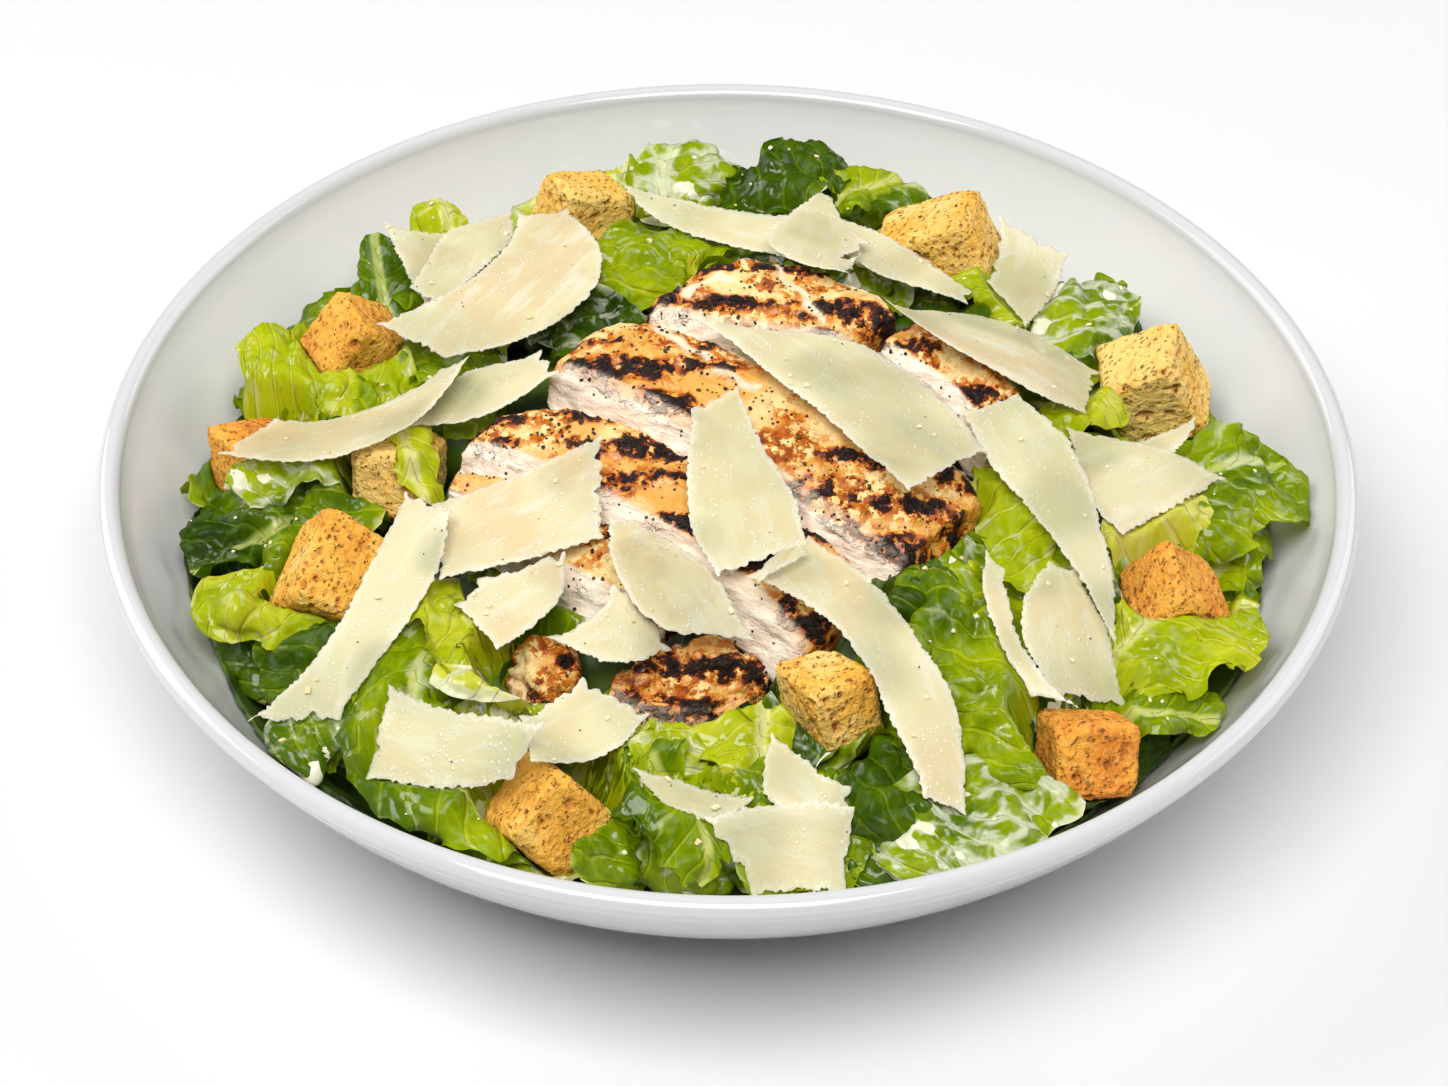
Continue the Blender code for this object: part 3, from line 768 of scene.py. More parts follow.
meat = {
    "voxel": 0.68,          # mesh spacing in millimetres
    "heading": 238.0,       # the way the cut faces look
    "skin": colour(236, 176, 84),
    "pale": colour(248, 220, 154),
    "gold": colour(218, 134, 34),
    "rust": colour(184, 88, 14),
    "brown": colour(112, 40, 8),
    "char": colour(60, 24, 9),
    "black": colour(26, 12, 7),
    "pepper": colour(58, 34, 20),
    "sinew": colour(248, 232, 208),
    # the cut flesh's own pale colour, pushed close to white as painted light for the light that the cut
    # faces lack
    "cut": colour(255, 244, 227),
    "cutPink": colour(254, 231, 208),
    "cutWarm": colour(246, 222, 192),
}

# the grate's bars run from left to right, and the meat touches them only in places
grate = {
    "gap": 9.2,             # from bar to bar, in millimetres
    "first": 4.0,           # where one of them lies, towards the back
    "slant": 0.05,          # how far the bars turn from straight across
    "width": 4.3,           # of a mark
    "patch": 9.0,           # how long a stretch stays pressed on its bar
    "pressed": (-0.34, 0.04),   # a lower pair presses more of the meat
}

# pale sinews on top as x, y of both ends and the width, in millimetres
sinews = {
    "back": [(9, 33, 19, 18, 1.2), (-9, 25, 0, 29, 2.0)],
    "long": [(-15, 17, -5, 8, 1.6), (-2, 4, 6, -1, 1.4)],
}


def nearSegment(points, x1, y1, x2, y2):
    start, run = np.array((x1, y1)), np.array((x2 - x1, y2 - y1), float)
    offset = points[:, :2] - start
    share = np.clip(offset @ run / (run @ run), 0, 1)
    return np.linalg.norm(offset - share[:, None] * run, axis=1)


def chickenMaterial():
    made, root, shader = newMaterial("grilled_chicken", IOR=1.42, Coat_Roughness=0.18)
    place = root.coordinates()
    burnt, cut, sinew, cloud = (root.stored("meat" + n) for n in ("Char", "Cut", "Sinew", "Cloud"))
    fibre = root.stored("meatFibre", "Vector")
    mottle = root.noise(place, 330.0, 2.0, 0.6)
    fine = root.noise(place, 1300.0, 1.0, 0.6)
    strand = root.noise(root.stretch(fibre, (0.16, 1.0, 1.0)), 900.0, 2.0, 0.6, 0.6)
    crust = root.noise(place, 520.0, 3.0, 0.65).fade(0.41, 0.57)
    spread = mottle.fade(0.34, 0.66)
    top = root.mix(cloud.fade(0.34, 0.62), meat["pale"], meat["skin"])
    top = root.mix(spread * (0.3 + 0.7 * fine.fade(0.4, 0.6)) * 0.34, top, meat["gold"])
    sear = burnt * (0.56 + 0.84 * crust) + 0.16 * (spread - 0.5) * burnt.fade(0.1, 0.35)
    scorch = root.ramp(sear, [(0.12, meat["skin"]), (0.23, meat["gold"]), (0.33, meat["rust"]),
                              (0.40, meat["brown"]), (0.48, meat["char"]), (1.0, meat["black"])])
    top = root.mix(sear.fade(0.12, 0.22), top, scorch)
    grain = root.dots(place, 520.0)
    pepper = (1 - grain.fade(0.09, 0.17)) * root.stored("meatCrowd")
    top = root.mix(pepper * 0.85, top, meat["pepper"])
    top = root.mix(sinew * 0.85, top, meat["sinew"])
    # the cut faces' near-white colour is partly the flesh's own and partly painted light
    raw = root.mix(strand.fade(0.35, 0.7), meat["cutPink"], meat["cut"])
    raw = root.mix(cloud.fade(0.5, 0.7) * 0.4, raw, meat["cutWarm"])
    base = root.mix(cut, top, raw)
    height = 0.5 * mottle + 0.3 * fine + (0.3 + 0.2 * cut) * strand + sear * crust * 1.4
    connect(shader, Base_Color=base,
            Roughness=0.34 + 0.2 * mottle + 0.22 * sear.fade(0.4, 0.7),
            Coat_Weight=0.45 * cloud.fade(0.35, 0.65) * (1 - 0.5 * cut) * (1 - 0.9 * sear.fade(0.3, 0.5)),
            Normal=bumped(root, height, 0.0006))
    return made


def makeSlice(nodeName, seed, material):
    name = nodeName.removeprefix("chicken_")
    piece = remeshed("meat_" + name, nodes[nodeName], meat["voxel"] * mm, 3, material)
    points, normals = shapeOf(piece)
    # the faces that the knife left, which look across the slice
    turn = math.radians(meat["heading"])
    facing = np.array((math.cos(turn), math.sin(turn), 0))
    middle = points.mean(axis=0)
    along = np.array((*np.linalg.eigh(np.cov((points - middle)[:, :2].T))[1][:, 1], 0.0))
    cut = fade(np.abs(normals @ facing), 0.5, 0.72) * (1 - fade(np.abs(normals @ along), 0.5, 0.8))
    isTip = name.startswith("tip")
    if isTip:
        cut *= 0.3
    top = fade(normals[:, 2], 0.25, 0.6)
    # grill marks: how far each point is from the nearest bar, in widths, and where the bar touches
    wander = points + np.stack([drift(points, 3.0, seed + k) for k in (1, 2, 3)], axis=1) * 1.1
    bar = (wander[:, 1] + grate["slant"] * wander[:, 0] - grate["first"]) / grate["gap"]
    away = np.abs(bar - np.round(bar)) * grate["gap"] / grate["width"]
    touching = fade(drift(points * (0.7, 1.0, 0.5), grate["patch"], seed + 4), *grate["pressed"])
    pressed = touching * (1 - 0.9 * cut)
    burnt = pressed * np.exp(-(away / 0.66) ** 2)
    halo = (0.3 * (1 - cut) + 0.7 * pressed) * 0.27 * np.exp(-(away / 1.2) ** 2)
    # the marks are broken up, and the skin round them, the ends and the rim are browned in patches
    broken = 0.72 + 0.9 * drift(points, 2.6, seed + 5) + 0.5 * drift(points, 1.2, seed + 15)
    patches = 0.07 + 0.08 * isTip + 0.3 * drift(points, 7.0, seed + 16)
    patches = np.clip(patches + 0.15 * drift(points, 2.5, seed + 26), 0, 0.24) * (1 - cut)
    burnt = np.maximum(burnt * np.clip(broken, 0.15, 1.0), np.maximum(halo, patches))
    endFace = (1 - cut) * (1 - top)
    burnt = np.maximum(burnt, endFace * np.clip(0.16 + 0.25 * drift(points, 2.4, seed + 27), 0, 0.34))
    rim = fade(normals[:, 2], 0.9, 0.62) * fade(normals[:, 2], 0.2, 0.5)
    burnt = np.maximum(burnt, 0.7 * rim * np.clip(drift(points, 5.0, seed + 6) + 0.25, 0, 1) * top)
    sinew = np.zeros(len(points))
    for x1, y1, x2, y2, width in sinews.get(name, []):
        sinew = np.maximum(sinew, 1 - fade(nearSegment(wander, x1, y1, x2, y2), width * 0.3, width))
    sinew *= top
    burnt *= 1 - sinew
    # lumps and blisters on top, fibres and creases along the slice
    sideways = np.cross(along, up)
    strands = np.stack([points @ along + 0.35 * points[:, 2], points @ sideways, points[:, 2]], axis=1)
    lumps = 0.6 * drift(points, 9.0, seed + 7) + 0.6 * drift(points, 3.6, seed + 8)
    blister = 0.32 * roughness(points, 1.9, seed + 9) * (0.7 + 0.9 * burnt)
    near, _, mark = cells(points, 1.5, seed + 18)
    blister = blister + 0.5 * fade(burnt, 0.35, 0.7) * np.clip(1 - near / (0.35 + 0.3 * mark), 0, 1)
    seams = np.clip(drift(strands * (0.25, 1.0, 1.0), 3.2, seed + 17) - 0.42, 0, 1) * top
    lumps = lumps - 1.6 * seams
    if isTip:                   # the ends of the breast are torn, not sliced
        near, second, _ = cells(strands * (0.6, 1.0, 1.0), 5.0, seed + 19)
        lumps = lumps + 1.0 * drift(points, 5.0, seed + 20) - 1.3 * (1 - fade(second - near, 0.0, 0.3))
    flakes = roughness(strands * (0.22, 1.0, 1.0), 1.5, seed + 10)
    creases = np.clip(drift(strands * (0.3, 1.0, 1.0), 3.6, seed + 11) - 0.35, 0, 1)
    height = lumps + blister + burnt * 0.18 - sinew * 0.15
    height = height - (0.3 + 0.5 * cut) * (0.35 * flakes + 0.8 * creases)
    moved = points + normals * (height - 0.2)[:, None]
    movePoints(piece, moved)
    store(
        piece,
        meatCut=cut,
        meatChar=burnt,
        meatSinew=sinew,
        meatCloud=0.5 + 0.36 * roughness(points, 10.0, seed + 21),
        meatCrowd=fade(drift(points, 7.0, seed + 22), -0.2, 0.4),
        meatFibre=strands * mm,
    )
    settle(piece, "chicken", nodeName)
    return piece


# what shows deep between the leaves: a sheet coloured darker than the leaves, painted shade for the depth of
# the heap
core = {
    "voxel": 2.2,
    "sink": 12.0,           # how far its top lies under the heap's, in millimetres
    "wallSink": 10.0,       # and how much deeper near the bowl's wall, between these radii
    "wallFrom": 84,
    "wallTo": 106,
    # painted shade: greens darker than any leaf's
    "shades": (colour(24, 40, 6), colour(84, 112, 20)),
}


def makeCore():
    made, root, shader = newMaterial("deep_leaf", Roughness=0.5)
    cloud = root.noise(root.coordinates(), 60.0, 4.0)
    base = root.mix(cloud.fade(0.35, 0.65), *core["shades"])
    connect(shader, Base_Color=base, Normal=bumped(root, cloud, 0.002))
    piece = remeshed("leaf_core", nodes["lettuce"], core["voxel"] * mm, 4, made)
    points, normals = shapeOf(piece)
    top = fade(normals[:, 2], -0.2, 0.3)
    radius = np.hypot(points[:, 0], points[:, 1])
    sink = core["sink"] + core["wallSink"] * fade(radius, core["wallFrom"], core["wallTo"])
    sink = top * (sink + 3.0 * drift(points, 14.0, 3) + 1.6 * drift(points, 5.0, 4))
    points[:, 2] = np.maximum(points[:, 2] - sink, innerWall(radius) + lettuce["aboveWall"])
    movePoints(piece, points)
    settle(piece, "leaf", "lettuce")
    print("leaf core", len(piece.data.polygons), "faces")


lettuce = {
    "grid": 0.92,           # mesh spacing on a placed leaf, in millimetres
    "coarseGrid": 1.2,      # and on a leaf that only fills
    "ribWidth": 1.5,
    "veinSlant": 0.75,      # how far a side vein runs towards the tip for each millimetre out
    "veinGap": 6.0,
    "crossGap": 5.0,
    "puff": 0.85,           # how high the leaf swells between its veins
    "widest": 120.5,        # no leaf reaches further from the bowl's middle
    "fromWall": 0.8,        # room left beside the wall, above it and on a topping
    "aboveWall": 0.7,
    "onTopping": 0.9,
    "translucence": 0.22,
    "tones": [(0.02, colour(38, 62, 0)), (0.24, colour(84, 114, 0)), (0.42, colour(142, 164, 0)),
              (0.62, colour(184, 196, 12)), (0.80, colour(216, 214, 64)), (1.0, colour(236, 228, 140))],
    "rib": colour(214, 220, 142),
    "film": colour(238, 240, 218),      # dressing that only coats a leaf
}

# the leaves are joined by tone, from and to; each lot has its own light shining through
leafLooks = {
    "leaf_dark": (-1.0, 0.3, colour(110, 150, 0)),
    "leaf_green": (0.3, 0.58, colour(170, 200, 0)),
    "leaf_heart": (0.58, 2.0, colour(224, 226, 50)),
}

# base and tip (x, y, z in millimetres), width, rise, roll, droop, ruffle, bend,
# tone from dark 0 to heart 1, and how much dressing is on it
featureLeaves = {
    "wallLime": ((-62, 64, 44), (-66, 78, 53), 14, 3, 0, 60, 30, 0, 0.70, 0.2),
    "wallDark": ((-69, 43, 40), (-78, 68, 52), 17, 2, 0, 15, 15, 0, 0.25, 0.2),
    "leftBig": ((-74, 13, 44), (-104, 30, 50), 34, 3, 0, 10, 45, 4, 0.66, 0.4),
    "leftOver": ((-72, -6, 49), (-103, -11, 46), 17, 3, 0, 10, 60, 0, 0.45, 0.9),
    "leftDark": ((-82, -8, 44), (-109, -26, 36), 25, 4, 0, 20, 60, 0, 0.12, 0.2),
    "leftMid": ((-70, -4, 48), (-90, -34, 41), 17, 3, 0, 20, 40, 0, 0.42, 0.3),
    "soakedTop": ((-67, 3, 54), (-60, -20, 52), 10, 1, 0, 10, 40, 0, 0.92, 0.2),
    "curled": ((-78, -45, 44), (-107, -42, 40), 22, 4, 0, 30, 75, 0, 0.74, 0.5),
    "brownEdge": ((-68, -54, 45), (-90, -66, 38), 19, 4, 0, 20, 50, 0, 0.15, 0.3),
    "heartFrontLeft": ((-62, -40, 51), (-47, -73, 48), 22, 3, 0, 25, 70, 0, 0.76, 0.4),
    "ribFront": ((-57, -72, 50), (-32, -77, 51), 9, 2, 0, 20, 30, 0, 1.0, 1.0),
    "tipLeaf": ((-46, -44, 50), (-41, -74, 50), 17, 3, 0, 15, 60, 0, 0.82, 0.5),
    "tipUnder": ((-40, -68, 47), (-14, -88, 47), 20, 3, 0, 20, 45, 0, 0.60, 0.7),
    "gapLeaf": ((-46, -30, 49), (-34, -58, 48), 20, 2, 0, 10, 40, 0, 0.45, 0.3),
    "bigArch": ((-57, -50, 48), (-38, -104, 38), 25, 5, 0, 35, 34, 16, 0.42, 0.5),
    "greyLeft": ((-74, -60, 42), (-88, -85, 32), 16, 3, 0, 20, 40, 0, 0.25, 0.7),
    "frontMidLeft": ((-30, -86, 45), (-21, -113, 36), 18, 4, 0, 30, 50, 0, 0.40, 0.2),
    "frontMid": ((-20, -84, 47), (-4, -113, 38), 24, 5, 0, 30, 60, 0, 0.38, 0.2),
    "frontMidRight": ((2, -88, 46), (14, -112, 37), 20, 4, 0, 30, 60, 0, 0.35, 0.2),
    "frontPaleLeft": ((-27, -74, 48), (-5, -92, 46), 15, 3, 0, 15, 30, 0, 0.68, 0.6),
    "frontPaleRight": ((6, -68, 50), (1, -95, 45), 19, 3, 0, 15, 30, 0, 0.76, 0.3),
    "frontDark": ((34, -76, 46), (28, -111, 36), 19, 4, 0, 30, 65, 0, 0.24, 0.2),
    "frontDarkLow": ((25, -84, 42), (20, -112, 35), 16, 3, 0, 20, 50, 0, 0.38, 0.2),
    "frontFlat": ((67, -87, 42), (29, -107, 39), 27, 3, 15, 10, 15, 0, 0.46, 1.0),
    "rightLong": ((36, -43, 53), (60, -93, 43), 25, 5, 0, 25, 45, 0, 0.44, 0.4),
    "rightRuffle": ((44, -41, 53), (31, -52, 52), 15, 3, 0, 20, 70, 0, 0.14, 0.2),
    "rightYellow": ((74, -62, 43), (107, -42, 45), 29, 4, -15, 10, 30, 0, 0.70, 0.3),
    "rightDarker": ((72, -68, 42), (99, -66, 37), 17, 3, 0, 20, 50, 0, 0.30, 0.3),
    "rightTip": ((84, -20, 47), (119, 1, 42), 31, 3, -8, 5, 26, 0, 0.36, 0.55),
    "rightHeart": ((76, -29, 50), (98, -14, 49), 17, 3, -10, 10, 30, 0, 0.88, 0.3),
    "rightBlister": ((55, -10, 55), (62, -43, 50), 18, 3, 0, 15, 30, 0, 0.62, 0.5),
    "rightLime": ((64, 6, 54), (84, 10, 51), 15, 3, 0, 40, 20, 0, 0.72, 0.1),
    "backDressed": ((66, 31, 48), (85, 57, 49), 23, 3, 0, 15, 25, 0, 0.30, 1.0),
    "backLime": ((50, 55, 53), (62, 36, 54), 17, 3, 0, 10, 50, 0, 0.60, 0.4),
    "backDark": ((3, 74, 50), (20, 99, 53), 27, 5, 0, 30, 55, 0, 0.12, 0.3),
    "backDarkRight": ((16, 78, 50), (36, 93, 50), 17, 4, 0, 25, 50, 0, 0.45, 0.2),
    "backPale": ((-12, 74, 50), (-9, 100, 52), 25, 4, 0, 20, 30, 0, 0.48, 1.0),
    "backEnd": ((26, 82, 48), (44, 90, 48), 13, 3, 0, 20, 30, 0, 0.30, 0.6),
    "backMid": ((-32, 38, 55), (-1, 63, 57), 26, 4, 0, 20, 55, 0, 0.42, 0.3),
    "backWhite": ((-30, 86, 49), (-15, 93, 51), 12, 2, 0, 20, 20, 0, 0.95, 1.0),
}

# leaves that lie over a topping instead of under it
overToppings = {"leftOver": "crouton_left_edge", "soakedTop": "crouton_left_soaked"}

# the leaves strewn between the placed ones: rings of them, radius and how many, and each leaf's ranges
fill = {
    "rings": [(30, 8), (45, 13), (60, 18), (75, 24), (88, 28), (98, 30), (104, 30)],
    "length": (26, 42),
    "width": (18, 28),
    "turn": 1.5,            # how far it may turn from pointing outwards, in radians
    "under": (3.0, 8.0),    # how far it starts below the heap's top
    "reach": 111,           # its ends stay inside this radius, and a wide leaf's further in
    "rise": (2, 6),
    "roll": (-28, 28),
    "droop": (5, 40),
    "ruffle": (35, 80),
    "tones": (0.15, 0.35, 0.5, 0.7),
    "dressing": (0.1, 0.4, 0.8),
    "seed": 41,
}

# the heap's height: its top, how far it drops by the radius that it reaches, and how suddenly
heap = {"top": 61.0, "drop": 28.0, "reach": 108.0, "fall": 2.6}

# how far leaves stay below each topping, and how steeply they may rise beside it
clearances = {"meat": (0.8, 2.5), "cheese": (0.9, 1.6), "bread": (0.6, 3.0)}
mapHalf = 130               # half the side of the maps of free height, in millimetres
rowShift = 0.37             # how far the cells between two side veins shift from one row to the next


def leafMaterial(name, glow):
    made, root, shader = newMaterial(name, IOR=1.42, Coat_Roughness=0.09, Specular_IOR_Level=0.18)
    place = root.stored("leafPlace", "Vector")
    cell = root.stored("leafCell", "Vector")
    names = ("Tone", "Dressing", "Puff", "Cloud", "Shine")
    tone, dressing, puff, cloud, shine = (root.stored("leaf" + n) for n in names)
    row, column, out = (root.part(cell, axis) for axis in "XYZ")
    sideVein = 1 - root.sum("PINGPONG", row, 0.5).fade(0.03, 0.13)
    shifted = column + root.sum("FLOOR", row) * rowShift
    crossVein = (1 - root.sum("PINGPONG", shifted, 0.5).fade(0.02, 0.12)) * 0.6
    rib = 1 - out.fade(0.5, 1.6)
    mottle = root.noise(place, 330.0, 1.0, 0.55)
    net = root.dots(place, 520.0, "DISTANCE_TO_EDGE")
    fineVein = 1 - net.fade(0.02, 0.16)
    veins = sideVein.most(crossVein).most(fineVein * 0.35)
    level = tone * 0.80 + 0.40 * cloud + 0.16 * mottle - 0.23 + 0.12 * veins + 0.25 * rib - 0.05 * puff
    base = root.ramp(level, lettuce["tones"])
    base = root.mix(rib * 0.5, base, lettuce["rib"])
    smear = root.noise(place, 210.0, 2.0, 0.55, 0.8) + 0.30 * (1 - puff) - 0.12
    film = (smear + 0.30 * dressing).fade(0.74, 0.92) * dressing.most(0.15)
    base = root.mix(film * 0.62, base, lettuce["film"])
    height = 0.6 * mottle - 0.6 * sideVein
    connect(shader, Base_Color=base,
            Roughness=0.42 - 0.14 * film - 0.12 * cloud,
            Coat_Weight=0.06 + 0.80 * shine,
            Normal=bumped(root, height, 0.00045))
    glowing = root.node("BsdfTranslucent", {}, {"Color": glow}, "BSDF")
    plain = Wire(root.tree, shader.outputs["BSDF"])
    both = root.node("MixShader", {}, {0: lettuce["translucence"], 1: plain, 2: glowing}, "Shader")
    connect(root.tree.nodes["Material Output"], Surface=both)
    return made


def limitMap(names, clearance, slope):
    # the height that a leaf may reach under the named nodes, on a grid of 1 mm squares
    tree = surfaceTree([nodes[n] for n in names])
    side = np.arange(-mapHalf, mapHalf + 1)
    limit = np.full((len(side), len(side)), 200.0)      # higher than anything here
    for i, x in enumerate(side):
        for j, y in enumerate(side):
            hit = meets(tree, x * mm, y * mm, 0.001, 1)[0]
            if hit is not None:
                limit[i, j] = hit.z / mm - clearance
    for _ in range(7):      # round each node the limit rises with the slope
        for shift, away in (((1, 0), 1.0), ((0, 1), 1.0), ((1, 1), 1.42), ((1, -1), 1.42)):
            for sign in (1, -1):
                moved = np.roll(limit, (shift[0] * sign, shift[1] * sign), axis=(0, 1)) + slope * away
                limit = np.minimum(limit, moved)
    return limit


def readMap(table, x, y):
    # the map's value at any x, y, blended from the four squares round it
    x, y = np.clip(x + mapHalf, 0, 2 * mapHalf - 1.1), np.clip(y + mapHalf, 0, 2 * mapHalf - 1.1)
    i, j = x.astype(int), y.astype(int)
    a, b = x - i, y - j
    return (table[i, j] * (1 - a) * (1 - b) + table[i + 1, j] * a * (1 - b)
            + table[i, j + 1] * (1 - a) * b + table[i + 1, j + 1] * a * b)


def heapHeight(radius):
    return heap["top"] - heap["drop"] * np.clip(radius / heap["reach"], 0, 1.1) ** heap["fall"]


def wallReach(z):
    # the inner wall's radius at a height
    share = np.clip((z - bowl["floor"]) / (bowl["height"] - bowl["rimRoll"] - bowl["floor"]), 0, 1)
    spread = bowl["radius"] - 2 * bowl["rimRoll"] - bowl["innerStart"]
    return bowl["innerStart"] + spread * share ** (1 / bowl["innerCurve"])


def unit(vectors):
    return vectors / np.maximum(np.linalg.norm(vectors, axis=-1, keepdims=True), 1e-9)


def keptClear(points, limits, over):
    # inside the bowl, under the toppings, and on top of the one that the leaf lies over
    x, y, z = points[..., 0], points[..., 1], points[..., 2]
    radius = np.hypot(x, y)
    most = np.minimum(lettuce["widest"], wallReach(np.maximum(z, 20)) - lettuce["fromWall"])
    pull = np.where(radius > most, most / np.maximum(radius, 1), 1.0)
    x, y = x * pull, y * pull
    for name, table in limits.items():
        if name != over:
            z = np.minimum(z, readMap(table, x, y))
    if over is not None:
        tree = surfaceTree([nodes[over]])
        for index in np.ndindex(z.shape):
            hit = meets(tree, x[index] * mm, y[index] * mm, aboveAll, -1)[0]
            if hit is not None:
                z[index] = max(z[index], hit.z / mm + lettuce["onTopping"])
    z = np.maximum(z, innerWall(np.hypot(x, y)) + lettuce["aboveWall"])
    return np.stack([x, y, z], axis=-1)


def growLeaf(seed, limits, grid, over, base, tip, width, rise, roll, droop, ruffle, bend, tone, dressing):
    # a sheet of points, built from its midrib outwards
    base, tip = np.array(base, float), np.array(tip, float)
    chord = tip - base
    length = np.linalg.norm(chord)
    rows = max(8, int((length + 2 * rise) / grid))
    half = max(4, int(width / 2 / grid * 1.15))
    u = np.linspace(0, 1, rows + 1)
    v = np.linspace(-1, 1, 2 * half + 1)
    axis = chord / length
    side = unit(np.cross(axis, up))
    above = np.cross(side, axis)
    rng = np.random.default_rng(seed)
    twist = rng.uniform(-22, 22)
    ribAt = rng.choice((-1.25, 1.25, -1.1, 1.1, -0.35, 0.3))    # past 1 the leaf is torn beside its rib
    line = flat(u * length / 11, np.full_like(u, seed * 3.7))
    bow = 4 * u * (1 - u)
    middle = base + u[:, None] * chord + above * (rise * bow)[:, None] + side * (bend * bow)[:, None]
    middle = middle + above * (1.8 * drift(line, 1.0, seed))[:, None]
    middle = middle + side * (1.6 * drift(line, 1.0, seed + 1))[:, None]
    ahead = unit(np.gradient(middle, axis=0))
    turn = np.radians(roll + twist * (u - 0.5))[:, None]
    across = unit(np.cross(ahead, above))
    lift = np.cross(across, ahead)
    across, lift = across * np.cos(turn) + lift * np.sin(turn), lift * np.cos(turn) - across * np.sin(turn)
    narrow = rng.uniform(0.45, 0.8)
    profile = np.minimum(1, narrow + (1 - narrow) * fade(u, 0, 0.5))
    profile = profile * np.sqrt(np.clip(1 - u ** 5, 0.0005, 1))
    profile = profile * np.sqrt(np.clip(1 - (1 - np.clip(u / 0.08, 0, 1)) ** 2, 0.25, 1))
    halfWidth = width / 2 * profile
    points = np.zeros((rows + 1, 2 * half + 1, 3))
    for sign in (-1, 1):
        edge = flat(u * length / 8, np.full_like(u, seed * 5.1 + sign))
        wide = halfWidth * (1 + 0.16 * drift(edge, 1.0, seed + 2) + 0.06 * drift(edge * 3, 1.0, seed + 3))
        slow = drift(edge, 1.2, seed + 4)
        quick = drift(edge, 0.55, seed + 5)
        here = middle.copy()
        points[:, half] = here
        for k in range(1, half + 1):
            share = (k - 0.5) / half
            angle = -math.radians(droop) * share * sign
            angle = angle + math.radians(ruffle) * (2.0 * slow * share ** 2 + 2.9 * quick * share ** 4)
            angle = np.clip(angle, -1.35, 1.35)[:, None]      # no part folds right over
            step = (wide / half * sign)[:, None]
            here = here + step * (np.cos(angle) * across + np.sin(angle) * lift)
            points[:, half + sign * k] = here
    normal = unit(np.cross(np.gradient(points, axis=1), np.gradient(points, axis=0)))
    normal *= np.sign((normal * lift[:, None]).sum(axis=2, keepdims=True).mean())
    # side veins slant away from the rib, cross veins cut each row into cells, and the leaf swells in them
    along = np.broadcast_to((u * length)[:, None], points.shape[:2])
    out = np.abs(v - ribAt)[None] * halfWidth[:, None]
    spots = np.stack([along, v[None] * halfWidth[:, None], np.full_like(along, seed * 2.3)], axis=-1)
    warp = 0.30 * drift(spots, 5.0, seed + 6)
    k = (along - lettuce["veinSlant"] * out) / lettuce["veinGap"] + warp + 0.25 * np.sign(v - ribAt)[None]
    m = out / lettuce["crossGap"] * (1 + 0.2 * warp) + 0.22 * drift(spots, 4.0, seed + 7)
    inRow = k - np.floor(k)
    inCell = (m + np.floor(k) * rowShift) % 1.0
    swell = (4 * inRow * (1 - inRow)) ** 0.7 * (0.45 + 0.55 * (4 * inCell * (1 - inCell)) ** 0.7)
    near, second, _ = cells(spots, 3.4, seed + 8)
    small = fade(second - near, 0.0, 0.40)
    clearRib = fade(out, 0.8, 3.0)
    firmness = 0.55 + 0.75 * fade(tone, 0.9, 0.2)
    blistered = lettuce["puff"] * firmness * (0.4 + 0.6 * min(1.0, ruffle / 40))
    relief = blistered * (swell * clearRib - 0.3) + 0.42 * small * clearRib
    # folds and creases all over, sharp at the bottom
    crumple = np.abs(drift(points, 9.0, seed + 9)) * 4.0 + 2.2 * np.abs(drift(points, 4.6, seed + 10))
    crumple = crumple + 0.6 * np.abs(drift(points, 2.3, seed + 20))
    relief = relief + (crumple - 1.8) * (0.3 + 0.7 * min(1.0, ruffle / 45))
    relief = relief - 0.5 * np.exp(-(out / lettuce["ribWidth"]) ** 2)
    points = points + normal * relief[..., None]
    points = keptClear(points, limits, over)
    outward = unit(np.cross(np.gradient(points, axis=1), np.gradient(points, axis=0)))
    outward *= np.sign(outward[..., 2:].mean())
    # dressing lies thickest between the swellings
    pool = 0.8 * drift(spots, 7.0, seed + 12) + 0.45 * drift(spots, 2.6, seed + 13) - 0.25 * swell
    pool = pool + 0.55 * (dressing - 0.9) - sauce["level"]
    depth = sauce["depth"] * np.sqrt(np.clip(pool / 0.5, 0, 1)) - sauce["sunk"]
    count = 2 * half + 1
    i, j = np.meshgrid(np.arange(rows), np.arange(2 * half), indexing="ij")
    corner = (i * count + j).ravel()
    quads = np.stack([corner, corner + 1, corner + count + 1, corner + count], axis=1)
    return {
        "points": points.reshape(-1, 3),
        "faces": quads,
        "leafPlace": (spots * mm).reshape(-1, 3),
        "leafCell": np.stack([k, m, out], axis=-1).reshape(-1, 3),
        "leafTone": tone + 0.12 * drift(spots, 14.0, seed + 11).ravel(),
        "leafDressing": np.full(out.size, dressing),
        "leafPuff": (swell * clearRib).ravel(),
        "leafCloud": 0.5 + 0.36 * roughness(spots, 13.0, seed + 14).ravel(),
        "leafShine": fade(drift(spots, 7.0, seed + 15), -0.3, 0.45).ravel(),
        "tone": tone,
        "wet": (pool > -0.02).ravel()[quads].any(axis=1) & (dressing >= 0.7),
        "wetPoints": (points + outward * depth[..., None]).reshape(-1, 3),
    }


sauce = {
    "level": 0.40,          # higher leaves fewer pools of dressing
    "depth": 0.75,          # the most that a pool stands up from its leaf
    "sunk": 0.15,           # how far its edge goes into the leaf
    "cream": (colour(240, 236, 214), colour(226, 226, 190)),
    "fleck": colour(120, 96, 60),
}


